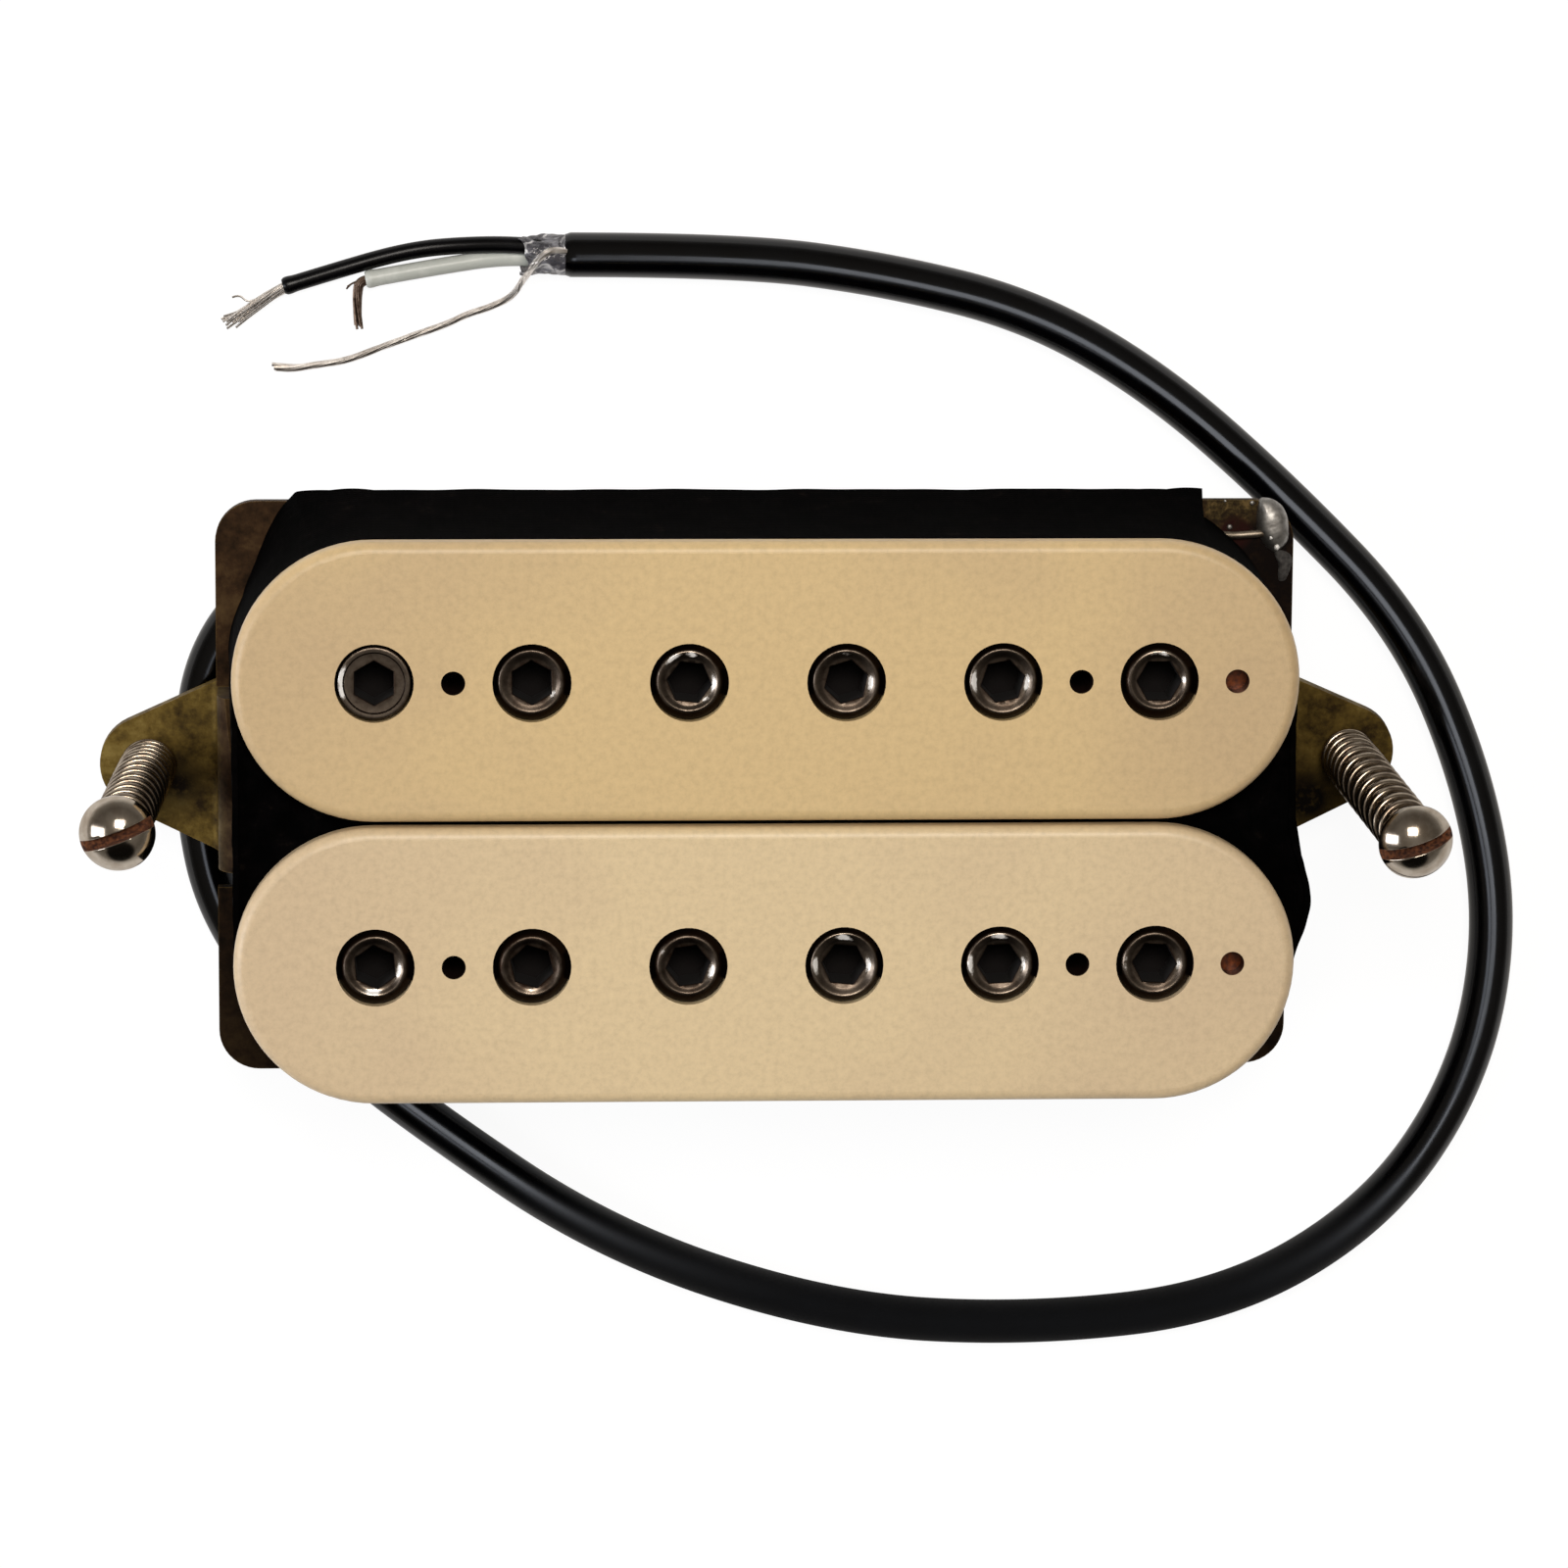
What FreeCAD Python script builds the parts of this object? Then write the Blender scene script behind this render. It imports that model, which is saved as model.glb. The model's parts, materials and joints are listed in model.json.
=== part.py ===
"""Guitar pickup: two bobbins, twelve hex-socket pole screws, two sprung height screws and a screened lead.

Millimetres. The origin is the centre of the baseplate's underside, +X runs along the rows of poles,
+Y runs across them towards the soldered corner, and +Z points at the strings.
"""
import FreeCAD, Part
import math
import os

Vector = FreeCAD.Vector
Rotation = FreeCAD.Rotation
Placement = FreeCAD.Placement
x_axis = Vector(1, 0, 0)
y_axis = Vector(0, 1, 0)
z_axis = Vector(0, 0, 1)
inch = 25.4

# General clearances
seat_gap = 0.02
overrun = 1.0
thread_clearance = 0.03
run_share = 0.45
upright_share = 0.9

# Baseplate: one brass sheet, its legs bent down and its feet bent out
plate_end_margin = 1.3
plate_side_margin = 0.72
sheet_thickness = 0.9
plate_corner_radius = 2.6
bend_radius = 0.6
leg_width = 11.4
leg_relief = 0.8
foot_drop = 5.4
foot_reach = 4.55
foot_end_radius = 3.2
foot_lean_left = 4.0
foot_lean_right = 6.0
foot_front_lean_left = 3.5
foot_front_lean_right = 8.0

# Pole screws: number ten, 32 threads to the inch
pole_count = 6
pole_pitch = 9.72
row_spacing = 17.86
pole_radius = 0.095 * inch
pole_length = 0.6875 * inch
pole_sink = 0.1
pole_chamfer = 0.4
pole_plate_clearance = 0.25
socket_across_flats = 0.09375 * inch
socket_depth = 3.2
socket_mouth_radius = 1.5
socket_mouth_depth = 0.25
socket_turns_back = (30, 32, 53, 1, 12, 0)
socket_turns_front = (35, 40, 8, 55, 3, 57)

# Magnet and keeper bars
magnet_height = 3.2
keeper_width = 6.35
keeper_end_margin = 1.8
magnet_side_gap = 0.05
bar_corner_chamfer = 0.3

# Bobbins
bobbin_height = 10.9
bobbin_end_radius = 8.75
bobbin_end_reach = 8.8
top_flange = 1.5
bottom_flange = 1.0
flange_round = 0.7
hub_radius = 3.4
hub_end_margin = 3.7
eyelet_radius = 0.75
post_hole_pitch_count = 2
wire_hole_pitch_count = 3

# Windings and tape
winding_set_back = 0.9
coil_tape_thickness = 0.25
outer_tape_thickness = 0.6
outer_tape_gap = 0.05
outer_tape_foot = 0.6
outer_tape_cover = 0.4
bulge_height = 0.9
bulge_half_width = 5.0

# Bobbin screws, under the plate
bobbin_screw_length = 9.5
bobbin_screw_head_radius = 1.8
bobbin_screw_head_height = 1.2
bobbin_screw_flat_share = 0.7
bobbin_screw_slot_width = 0.5
bobbin_screw_slot_depth = 0.5
bobbin_screw_clearance = 0.2

# Height screws: number three, 48 threads to the inch
height_screw_radius = 1.25
height_screw_length = 0.75 * inch
height_head_radius = 2.375
height_head_height = 1.75
height_head_rim = 0.35
height_slot_width = 0.72
height_slot_depth = 0.85
height_tip_chamfer = 0.3
slot_turn_left = 21
slot_turn_right = 17

# Height springs
spring_radius = 1.6
spring_wire_radius = 0.25
spring_wire_side_count = 8
spring_close_turns = 4
spring_open_turns = 10
spring_close_pitch = 0.95

# Lead: a screened cable with a black and a white core and a bare drain wire
lead_radius = 1.45
lead_hole_clearance = 0.15
lead_hole_x = -25.0
lead_hole_y = 14.6
lead_inner_stub = 0.4
floor_level = -9.5
core_radius = 0.45
black_core_radius = 0.52
drain_radius = 0.25
black_strand_radius = 0.35
white_strand_radius = 0.3
wrap_length = 2.8
wrap_outer_radius = 1.4
wrap_thickness = 0.12

# Wiring above the plate
core_level = 2.85
white_core_corner = 5.9
black_core_corner = 7.1
core_offset = 0.55
ground_wire_offset = 1.05
splice_radius = 0.58
splice_length = 5.5
splice_level = 6.0
splice_stand_out = 0.18
white_bend_back = 1.43
black_bend_back = 1.03
white_splice_y = -6.0
black_splice_y = -4.3
ground_wire_level = 1.17

# Solder at the plate's corner: the largest drop's radius, and each drop's distances from the corner,
# radius and height as shares of it
solder_radius = 1.0
solder_drop_shares = [
    (1.35, 1.45, 1.0, 0.8),
    (1.05, 2.6, 0.8, 0.62),
    (0.65, 4.0, 0.5, 0.4),
]

# Places that follow from the sizes above
last_pole_x = (pole_count - 1) / 2 * pole_pitch
bobbin_length = 2 * (last_pole_x + bobbin_end_reach)
plate_length = bobbin_length + 2 * plate_end_margin
plate_width = row_spacing + 2 * bobbin_end_radius + 2 * plate_side_margin
plate_top = sheet_thickness
bobbin_base = plate_top + magnet_height
bobbin_top = bobbin_base + bobbin_height
row_y = row_spacing / 2
bobbin_straight = bobbin_length / 2 - bobbin_end_radius
winding_base = bobbin_base + bottom_flange
winding_top = bobbin_top - top_flange
post_x = post_hole_pitch_count * pole_pitch
wire_hole_x = wire_hole_pitch_count * pole_pitch
tape_half_length = bobbin_length / 2 + outer_tape_gap
tape_half_width = row_y + bobbin_end_radius + outer_tape_gap
tape_corner_radius = bobbin_end_radius + outer_tape_gap
foot_x = plate_length / 2 + foot_reach
splice_x = tape_half_length + splice_stand_out
bulge_place = (white_splice_y + black_splice_y) / 2
jacket_end = plate_top + lead_inner_stub
lead_level = floor_level + lead_radius
pole_xs = [(i - (pole_count - 1) / 2) * pole_pitch for i in range(pole_count)]

# The lead's route, from the plate's hole to its stripped end
lead_route = [
    (lead_hole_x, lead_hole_y, jacket_end),
    (lead_hole_x, lead_hole_y, -2.6),
    (-26.9, 13.9, -6.1),
    (-30.1, 12.5, lead_level),
    (-33.5, 9.8, lead_level),
    (-35.6, 5.7, lead_level),
    (-35.98, 0.9, lead_level),
    (-35.85, -4.0, lead_level),
    (-34.9, -8.7, lead_level),
    (-32.4, -13.3, lead_level),
    (-28.2, -18.0, lead_level),
    (-22.1, -23.2, lead_level),
    (-9.2, -32.25, lead_level),
    (5.8, -37.35, lead_level),
    (18.9, -38.2, lead_level),
    (32.2, -36.75, lead_level),
    (42.2, -30.65, lead_level),
    (47.95, -21.75, lead_level),
    (49.75, -11.65, lead_level),
    (48.0, -1.6, lead_level),
    (43.3, 9.05, lead_level),
    (34.45, 18.0, lead_level),
    (26.6, 24.8, lead_level),
    (18.2, 29.65, lead_level),
    (8.5, 32.0, lead_level),
    (-1.0, 33.2, lead_level),
    (-12.0, 33.2, lead_level),
]

# The stripped cores, from the jacket's end face to their cut ends
black_core_route = [
    (-12.0, 33.75, -7.6),
    (-14.2, 33.75, -7.6),
    (-17.4, 34.0, -8.35),
    (-20.5, 33.65, -8.9),
    (-23.4, 32.95, -8.97),
    (-26.6, 32.05, -8.97),
    (-30.0, 30.9, -8.97),
]
black_strand_route = [
    (-30.0, 30.9, -8.97),
    (-31.7, 30.325, -8.97),
    (-34.3, 28.5, -9.1),
]
white_core_route = [
    (-12.0, 32.95, -8.3),
    (-14.2, 32.95, -8.3),
    (-17.5, 32.5, -8.8),
    (-20.6, 32.0, -9.04),
    (-24.8, 31.5, -9.04),
]
white_strand_route = [
    (-24.8, 31.5, -9.04),
    (-25.3, 31.44, -9.04),
    (-25.55, 30.6, -9.12),
    (-25.2, 28.3, -9.18),
]
drain_route = [
    (-12.0, 32.35, -8.85),
    (-12.9, 32.35, -8.85),
    (-14.3, 31.8, -9.12),
    (-15.8, 30.5, -9.22),
    (-18.1, 29.4, -9.22),
    (-20.6, 28.4, -9.22),
    (-23.2, 27.25, -9.22),
    (-25.7, 26.4, -9.22),
    (-28.3, 25.8, -9.22),
    (-31.0, 25.95, -9.22),
]

# The wiring between the lead's inner end, the splices and the soldered corner
white_inner_route = [
    (lead_hole_x, lead_hole_y - core_offset, jacket_end),
    (lead_hole_x, lead_hole_y - core_offset, 2.1),
    (-24.2, 14.35, core_level),
    (-21.0, row_y + white_core_corner, core_level),
    (bobbin_straight + white_core_corner, row_y + white_core_corner, core_level),
    (bobbin_straight + white_core_corner, -3.2, core_level),
    (splice_x - white_bend_back, -5.3, core_level),
    (splice_x, white_splice_y, 3.6),
    (splice_x, white_splice_y, splice_level),
]
black_inner_route = [
    (lead_hole_x, lead_hole_y + core_offset, jacket_end),
    (lead_hole_x, lead_hole_y + core_offset, 2.1),
    (-24.2, 15.55, core_level),
    (-21.0, row_y + black_core_corner, core_level),
    (bobbin_straight + black_core_corner, row_y + black_core_corner, core_level),
    (bobbin_straight + black_core_corner, -1.4, core_level),
    (splice_x - black_bend_back, -3.4, core_level),
    (splice_x, black_splice_y, 3.6),
    (splice_x, black_splice_y, splice_level),
]
ground_wire_route = [
    (lead_hole_x + ground_wire_offset, lead_hole_y, jacket_end),
    (lead_hole_x + ground_wire_offset, lead_hole_y, 2.0),
    (-23.1, 15.3, 1.9),
    (-22.0, 16.2, 1.4),
    (-20.0, 16.8, ground_wire_level),
    (-17.0, 16.9, ground_wire_level),
    (24.4, 16.9, ground_wire_level),
    (27.6, 16.7, ground_wire_level),
    (29.9, 16.1, ground_wire_level),
    (32.7, 16.3, ground_wire_level),
]


def rounded_path(points, radii=None):
    """A wire of straight runs through the points, joined by tangent arcs, and the arcs' radii."""
    points = [Vector(*p) for p in points]
    edges = []
    found = []
    last = points[0]
    for i in range(1, len(points) - 1):
        back = points[i - 1] - points[i]
        on = points[i + 1] - points[i]
        turn = math.pi - back.getAngle(on)
        radius = run_share * min(back.Length, on.Length) / math.tan(turn / 2)
        if radii and i in radii:
            radius = radii[i]
        trim = radius * math.tan(turn / 2)
        back.normalize()
        on.normalize()
        bisector = (back + on).normalize()
        middle = points[i] + bisector * (radius / math.cos(turn / 2) - radius)
        start = points[i] + back * trim
        end = points[i] + on * trim
        edges.append(Part.LineSegment(last, start).toShape())
        edges.append(Part.Arc(start, middle, end).toShape())
        found.append(radius)
        last = end
    edges.append(Part.LineSegment(last, points[-1]).toShape())
    return Part.Wire(edges), found


def round_section(radius, centre, direction):
    """A closed circle around a path's first point, square to it."""
    return Part.Wire([Part.makeCircle(radius, centre, direction)])


def sided_section(radius, sides, centre, direction):
    """A regular polygon around a path's first point, square to it, with nearly a circle's area."""
    side = direction.cross(z_axis).normalize()
    up = side.cross(direction).normalize()
    reach = radius / math.sqrt(math.cos(math.pi / sides))
    angles = [2 * math.pi * (i + 0.5) / sides for i in range(sides)]
    points = [centre + side * (reach * math.cos(a)) + up * (reach * math.sin(a)) for a in angles]
    return Part.makePolygon(points + points[:1])


def tube(name, route, radius, radii=None):
    """A round tube along a route, with its arcs' radii and its volume against section times length printed."""
    path, found = rounded_path(route, radii)
    start = Vector(*route[0])
    direction = Vector(*route[1]) - start
    solid = path.makePipeShell([round_section(radius, start, direction)], True, False)
    swept = math.pi * radius ** 2 * path.Length
    print(name, "length", round(path.Length, 2), "radii", [round(r, 1) for r in found],
          "volume over section times length", round(solid.Volume / swept, 4))
    return solid


def stadium(length, radius, base, height, centre_y=0.0):
    """An upright prism with straight sides and half-round ends."""
    straight = length / 2 - radius
    right = Vector(straight, centre_y, base)
    left = Vector(-straight, centre_y, base)
    up = Vector(0, radius, 0)
    out = Vector(radius, 0, 0)
    edges = [
        Part.LineSegment(left - up, right - up).toShape(),
        Part.Arc(right - up, right + out, right + up).toShape(),
        Part.LineSegment(right + up, left + up).toShape(),
        Part.Arc(left + up, left - out, left - up).toShape(),
    ]
    return Part.Face(Part.Wire(edges)).extrude(z_axis * height)


def round_bar(radius, x, y, base, height):
    """An upright cylinder."""
    return Part.makeCylinder(radius, height, Vector(x, y, base))


def hollowed(solid, tools):
    """The solid with all tools cut from it at once."""
    return solid.cut(Part.makeCompound(tools))


def block(x0, x1, y0, y1, z0, z1):
    """A box between two corners."""
    return Part.makeBox(x1 - x0, y1 - y0, z1 - z0, Vector(x0, y0, z0))


def upright_edges(solid):
    """The solid's edges that run along Z."""
    return [e for e in solid.Edges if abs(e.tangentAt(e.FirstParameter).z) > upright_share]


def foot_lean(side):
    """How far one foot's screw leans away from the plate, in degrees."""
    return foot_lean_right if side > 0 else foot_lean_left


def foot_front_turn(side):
    """The small turn towards the front edge that handling has given each leg."""
    lean = foot_front_lean_right if side > 0 else foot_front_lean_left
    return Placement(Vector(0, 0, 0), Rotation(x_axis, lean), Vector(0, 0, plate_top))


def screw_frame(side):
    """The frame of one height screw: its origin on the foot's top face, its Z along the screw."""
    lean = Placement(Vector(side * foot_x, 0, -foot_drop), Rotation(y_axis, side * foot_lean(side)))
    return foot_front_turn(side).multiply(lean)


def leg_and_foot(side):
    """A strip bent down from the plate and out again, cut to the foot's outline."""
    lean = math.radians(foot_lean(side))
    mid_radius = bend_radius + sheet_thickness / 2
    leg_x = plate_length / 2 - sheet_thickness / 2
    foot_mid_x = foot_x - sheet_thickness / 2 * math.sin(lean)
    foot_mid_z = -foot_drop - sheet_thickness / 2 * math.cos(lean)
    corner_z = foot_mid_z + (foot_mid_x - leg_x) * math.tan(lean)
    reach = foot_x + foot_end_radius + overrun
    points = [
        (leg_x - mid_radius - sheet_thickness, 0, sheet_thickness / 2),
        (leg_x, 0, sheet_thickness / 2),
        (leg_x, 0, corner_z),
        (reach, 0, foot_mid_z - (reach - foot_mid_x) * math.tan(lean)),
    ]
    path, _ = rounded_path(points, {1: mid_radius, 2: mid_radius})
    start = Vector(*points[0])
    half = Vector(0, leg_width / 2, 0)
    thick = Vector(0, 0, sheet_thickness / 2)
    corners = [start - half - thick, start + half - thick, start + half + thick, start - half + thick]
    section = Part.makePolygon(corners + corners[:1])
    strip = path.makePipeShell([section], True, False)
    strip = strip.common(foot_outline())
    if side < 0:
        strip = strip.mirror(Vector(0, 0, 0), x_axis)
    strip.Placement = foot_front_turn(side).multiply(strip.Placement)
    above = block(-plate_length, plate_length, -plate_width, plate_width, plate_top, plate_top + plate_width)
    return strip.cut(above)


def foot_outline():
    """The right leg and foot seen from above, tapering to a round end, as a tall prism."""
    centre = Vector(foot_x, 0, -2 * foot_drop)
    root = Vector(plate_length / 2, leg_width / 2, -2 * foot_drop)
    inner = Vector(0, leg_width / 2, -2 * foot_drop)
    to_root = root - centre
    angle = math.atan2(to_root.y, to_root.x) - math.acos(foot_end_radius / to_root.Length)
    touch = centre + Vector(math.cos(angle), math.sin(angle), 0) * foot_end_radius
    flip = lambda v: Vector(v.x, -v.y, v.z)
    edges = [
        Part.LineSegment(inner, root).toShape(),
        Part.LineSegment(root, touch).toShape(),
        Part.Arc(touch, centre + x_axis * foot_end_radius, flip(touch)).toShape(),
        Part.LineSegment(flip(touch), flip(root)).toShape(),
        Part.LineSegment(flip(root), flip(inner)).toShape(),
        Part.LineSegment(flip(inner), inner).toShape(),
    ]
    return Part.Face(Part.Wire(edges)).extrude(z_axis * 4 * foot_drop)


def make_baseplate():
    """The plate with its legs, feet, relief notches and every hole through it."""
    half_x = plate_length / 2
    half_y = plate_width / 2
    plate = block(-half_x, half_x, -half_y, half_y, 0, sheet_thickness)
    plate = plate.makeFillet(plate_corner_radius, upright_edges(plate))
    notch_y = leg_width / 2 + leg_relief
    notch_x = half_x - bend_radius - sheet_thickness
    notches = [
        block(notch_x, half_x + overrun, -notch_y, notch_y, -overrun, sheet_thickness + overrun),
        block(-half_x - overrun, -notch_x, -notch_y, notch_y, -overrun, sheet_thickness + overrun),
    ]
    plate = hollowed(plate, notches)
    plate = plate.fuse([leg_and_foot(1), leg_and_foot(-1)]).removeSplitter()
    through = sheet_thickness + 2 * overrun
    holes = [round_bar(pole_radius + pole_plate_clearance, x, y, -overrun, through)
             for x in pole_xs for y in (row_y, -row_y)]
    holes += [round_bar(eyelet_radius + bobbin_screw_clearance, x, y, -overrun, through)
              for x in (post_x, -post_x) for y in (row_y, -row_y)]
    holes.append(round_bar(lead_radius + lead_hole_clearance, lead_hole_x, lead_hole_y, -overrun, through))
    for side in (-1, 1):
        tapped = Part.makeCylinder(height_screw_radius + thread_clearance, through,
                                   Vector(0, 0, -sheet_thickness - overrun))
        tapped.Placement = screw_frame(side)
        holes.append(tapped)
    return hollowed(plate, holes)


def make_magnet():
    """The ceramic bar between the keeper bars."""
    half_x = last_pole_x + pole_radius + keeper_end_margin
    half_y = row_y - keeper_width / 2 - magnet_side_gap
    bar = block(-half_x, half_x, -half_y, half_y, plate_top, bobbin_base)
    return bar.makeChamfer(bar_corner_chamfer, upright_edges(bar))


def make_keeper_bar(centre_y):
    """A steel bar under one bobbin, tapped for its row of poles and bored for its bobbin screws."""
    half_x = last_pole_x + pole_radius + keeper_end_margin
    half_y = keeper_width / 2
    bar = block(-half_x, half_x, centre_y - half_y, centre_y + half_y, plate_top, bobbin_base)
    bar = bar.makeChamfer(bar_corner_chamfer, upright_edges(bar))
    start = plate_top - overrun
    through = magnet_height + 2 * overrun
    holes = [round_bar(pole_radius + thread_clearance, x, centre_y, start, through) for x in pole_xs]
    holes += [round_bar(eyelet_radius + bobbin_screw_clearance, x, centre_y, start, through)
              for x in (post_x, -post_x)]
    return hollowed(bar, holes)


def make_bobbin(centre_y):
    """Two flanges on a hub, bored for the poles, the bobbin screws and the winding's start."""
    hub_length = 2 * (last_pole_x + hub_end_margin)
    top = stadium(bobbin_length, bobbin_end_radius, winding_top, top_flange, centre_y)
    rim = [e for e in top.Edges if min(v.Z for v in e.Vertexes) > bobbin_top - flange_round]
    top = top.makeFillet(flange_round, rim)
    hub = stadium(hub_length, hub_radius, winding_base, winding_top - winding_base, centre_y)
    bottom = stadium(bobbin_length, bobbin_end_radius, bobbin_base, bottom_flange, centre_y)
    bobbin = top.fuse([hub, bottom]).removeSplitter()
    start = bobbin_base - overrun
    through = bobbin_height + 2 * overrun
    holes = [round_bar(pole_radius + thread_clearance, x, centre_y, start, through) for x in pole_xs]
    holes += [round_bar(eyelet_radius, x, centre_y, start, through) for x in (post_x, -post_x)]
    holes.append(round_bar(eyelet_radius, wire_hole_x, centre_y, winding_top - seat_gap,
                           top_flange + overrun))
    return hollowed(bobbin, holes)


def winding_ring(centre_y, inner_shift, outer_shift):
    """A ring between a bobbin's flanges, given by its distances inside the flange's edge."""
    base = winding_base + seat_gap
    height = winding_top - winding_base - 2 * seat_gap
    outer = stadium(bobbin_length - 2 * outer_shift, bobbin_end_radius - outer_shift, base, height, centre_y)
    if inner_shift is None:
        hub_length = 2 * (last_pole_x + hub_end_margin + seat_gap)
        inner = stadium(hub_length, hub_radius + seat_gap, base - overrun, height + 2 * overrun, centre_y)
    else:
        inner = stadium(bobbin_length - 2 * inner_shift, bobbin_end_radius - inner_shift,
                        base - overrun, height + 2 * overrun, centre_y)
    return outer.cut(inner)


def make_coil(centre_y):
    """The enamelled winding, from the hub to its tape."""
    return winding_ring(centre_y, None, winding_set_back + coil_tape_thickness)


def make_coil_tape(centre_y):
    """The tape round one winding."""
    return winding_ring(centre_y, winding_set_back + coil_tape_thickness - seat_gap, winding_set_back)


def tape_outline(shift, base, height):
    """A rounded rectangle round both bobbins, with a bulge over the splices, as an upright prism."""
    x = tape_half_length + shift
    y = tape_half_width + shift
    radius = tape_corner_radius + shift
    cut = radius * math.cos(math.pi / 4)

    def point(px, py):
        return Vector(px, py, base)

    bulge_low = bulge_place - bulge_half_width
    bulge_high = bulge_place + bulge_half_width
    straight_x = x - radius
    straight_y = y - radius
    slope = math.sqrt(max(radius ** 2 - (bulge_low + straight_y) ** 2, 0.0))
    start = point(straight_x + slope, bulge_low)
    lead_in = math.atan2(bulge_low + straight_y, slope)
    middle = (lead_in - math.pi / 2) / 2
    edges = [
        Part.LineSegment(point(-straight_x, -y), point(straight_x, -y)).toShape(),
        Part.Arc(point(straight_x, -y),
                 point(straight_x + radius * math.cos(middle), -straight_y + radius * math.sin(middle)),
                 start).toShape(),
        Part.Arc(start, point(x + bulge_height, bulge_place), point(x, bulge_high)).toShape(),
        Part.LineSegment(point(x, bulge_high), point(x, straight_y)).toShape(),
        Part.Arc(point(x, straight_y), point(straight_x + cut, straight_y + cut),
                 point(straight_x, y)).toShape(),
        Part.LineSegment(point(straight_x, y), point(-straight_x, y)).toShape(),
        Part.Arc(point(-straight_x, y), point(-straight_x - cut, straight_y + cut),
                 point(-x, straight_y)).toShape(),
        Part.LineSegment(point(-x, straight_y), point(-x, -straight_y)).toShape(),
        Part.Arc(point(-x, -straight_y), point(-straight_x - cut, -straight_y - cut),
                 point(-straight_x, -y)).toShape(),
    ]
    return Part.Face(Part.Wire(edges)).extrude(z_axis * height)


def make_outer_tape():
    """The wall of tape round both bobbins."""
    base = plate_top + outer_tape_foot
    height = winding_top + outer_tape_cover - base
    outer = tape_outline(outer_tape_thickness, base, height)
    return outer.cut(tape_outline(0.0, base - overrun, height + 2 * overrun))


def turned_profile(points):
    """A solid turned about Z from a profile of (radius, height) points."""
    wire = Part.makePolygon([Vector(r, 0, z) for r, z in points + points[:1]])
    return Part.Face(wire).revolve(Vector(0, 0, 0), z_axis, 360)


def make_pole_screw(x, y, socket_turn):
    """A threaded pole with a hex socket at its top, its thread left plain."""
    top = bobbin_top - pole_sink
    shank = turned_profile([
        (0, top - pole_length),
        (pole_radius - pole_chamfer, top - pole_length),
        (pole_radius, top - pole_length + pole_chamfer),
        (pole_radius, top - pole_chamfer),
        (pole_radius - pole_chamfer, top),
        (0, top),
    ])
    corner_radius = socket_across_flats / 2 / math.cos(math.pi / 6)
    corners = [Vector(corner_radius * math.cos(math.radians(socket_turn + 60 * i)),
                      corner_radius * math.sin(math.radians(socket_turn + 60 * i)),
                      top - socket_depth) for i in range(6)]
    socket = Part.Face(Part.makePolygon(corners + corners[:1])).extrude(z_axis * (socket_depth + overrun))
    mouth = Part.makeCone(socket_across_flats / 2, socket_mouth_radius, socket_mouth_depth,
                          Vector(0, 0, top - socket_mouth_depth))
    pole = hollowed(shank, [socket, mouth])
    pole.translate(Vector(x, y, 0))
    return pole


def make_bobbin_screws():
    """The four screws that hold the bobbins to the plate, from below."""
    tip = eyelet_radius - seat_gap
    profile = [
        (0, bobbin_screw_length),
        (tip / 2, bobbin_screw_length),
        (tip, bobbin_screw_length - tip),
        (tip, -seat_gap),
        (bobbin_screw_head_radius, -seat_gap),
        (bobbin_screw_head_radius, -bobbin_screw_head_height / 2),
        (bobbin_screw_head_radius * bobbin_screw_flat_share, -bobbin_screw_head_height),
        (0, -bobbin_screw_head_height),
    ]
    half = bobbin_screw_slot_width / 2
    reach = bobbin_screw_head_radius + overrun
    slot = block(-reach, reach, -half, half, -bobbin_screw_head_height - overrun,
                 -bobbin_screw_head_height + bobbin_screw_slot_depth)
    screws = []
    for x in (-post_x, post_x):
        for y in (-row_y, row_y):
            screw = turned_profile(profile).cut(slot)
            screw.translate(Vector(x, y, 0))
            screws.append(screw)
    return Part.makeCompound(screws)


def spring_length():
    """The height spring's room between the foot and the screw's head."""
    return height_screw_length - sheet_thickness


def make_height_screw(side):
    """A slotted round-head screw with its tip flush with the foot's underside."""
    head_base = spring_length()
    tip = head_base - height_screw_length
    rim = head_base + height_head_rim
    top = head_base + height_head_height
    rise = top - rim
    dome_radius = (height_head_radius ** 2 + rise ** 2) / (2 * rise)
    dome_centre = top - dome_radius
    outline = [
        (0, tip),
        (height_screw_radius - height_tip_chamfer, tip),
        (height_screw_radius, tip + height_tip_chamfer),
        (height_screw_radius, head_base),
        (height_head_radius, head_base),
        (height_head_radius, rim),
    ]
    edges = [Part.LineSegment(Vector(a[0], 0, a[1]), Vector(b[0], 0, b[1])).toShape()
             for a, b in zip(outline, outline[1:])]
    half_way = math.asin(height_head_radius / dome_radius) / 2
    shoulder = Vector(dome_radius * math.sin(half_way), 0, dome_centre + dome_radius * math.cos(half_way))
    edges.append(Part.Arc(Vector(height_head_radius, 0, rim), shoulder, Vector(0, 0, top)).toShape())
    edges.append(Part.LineSegment(Vector(0, 0, top), Vector(0, 0, tip)).toShape())
    screw = Part.Face(Part.Wire(edges)).revolve(Vector(0, 0, 0), z_axis, 360)
    reach = height_head_radius + overrun
    half = height_slot_width / 2
    slot = block(-reach, reach, -half, half, top - height_slot_depth, top + overrun)
    slot.rotate(Vector(0, 0, 0), z_axis, slot_turn_right if side > 0 else slot_turn_left)
    screw = screw.cut(slot)
    screw.Placement = screw_frame(side)
    return screw


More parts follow.
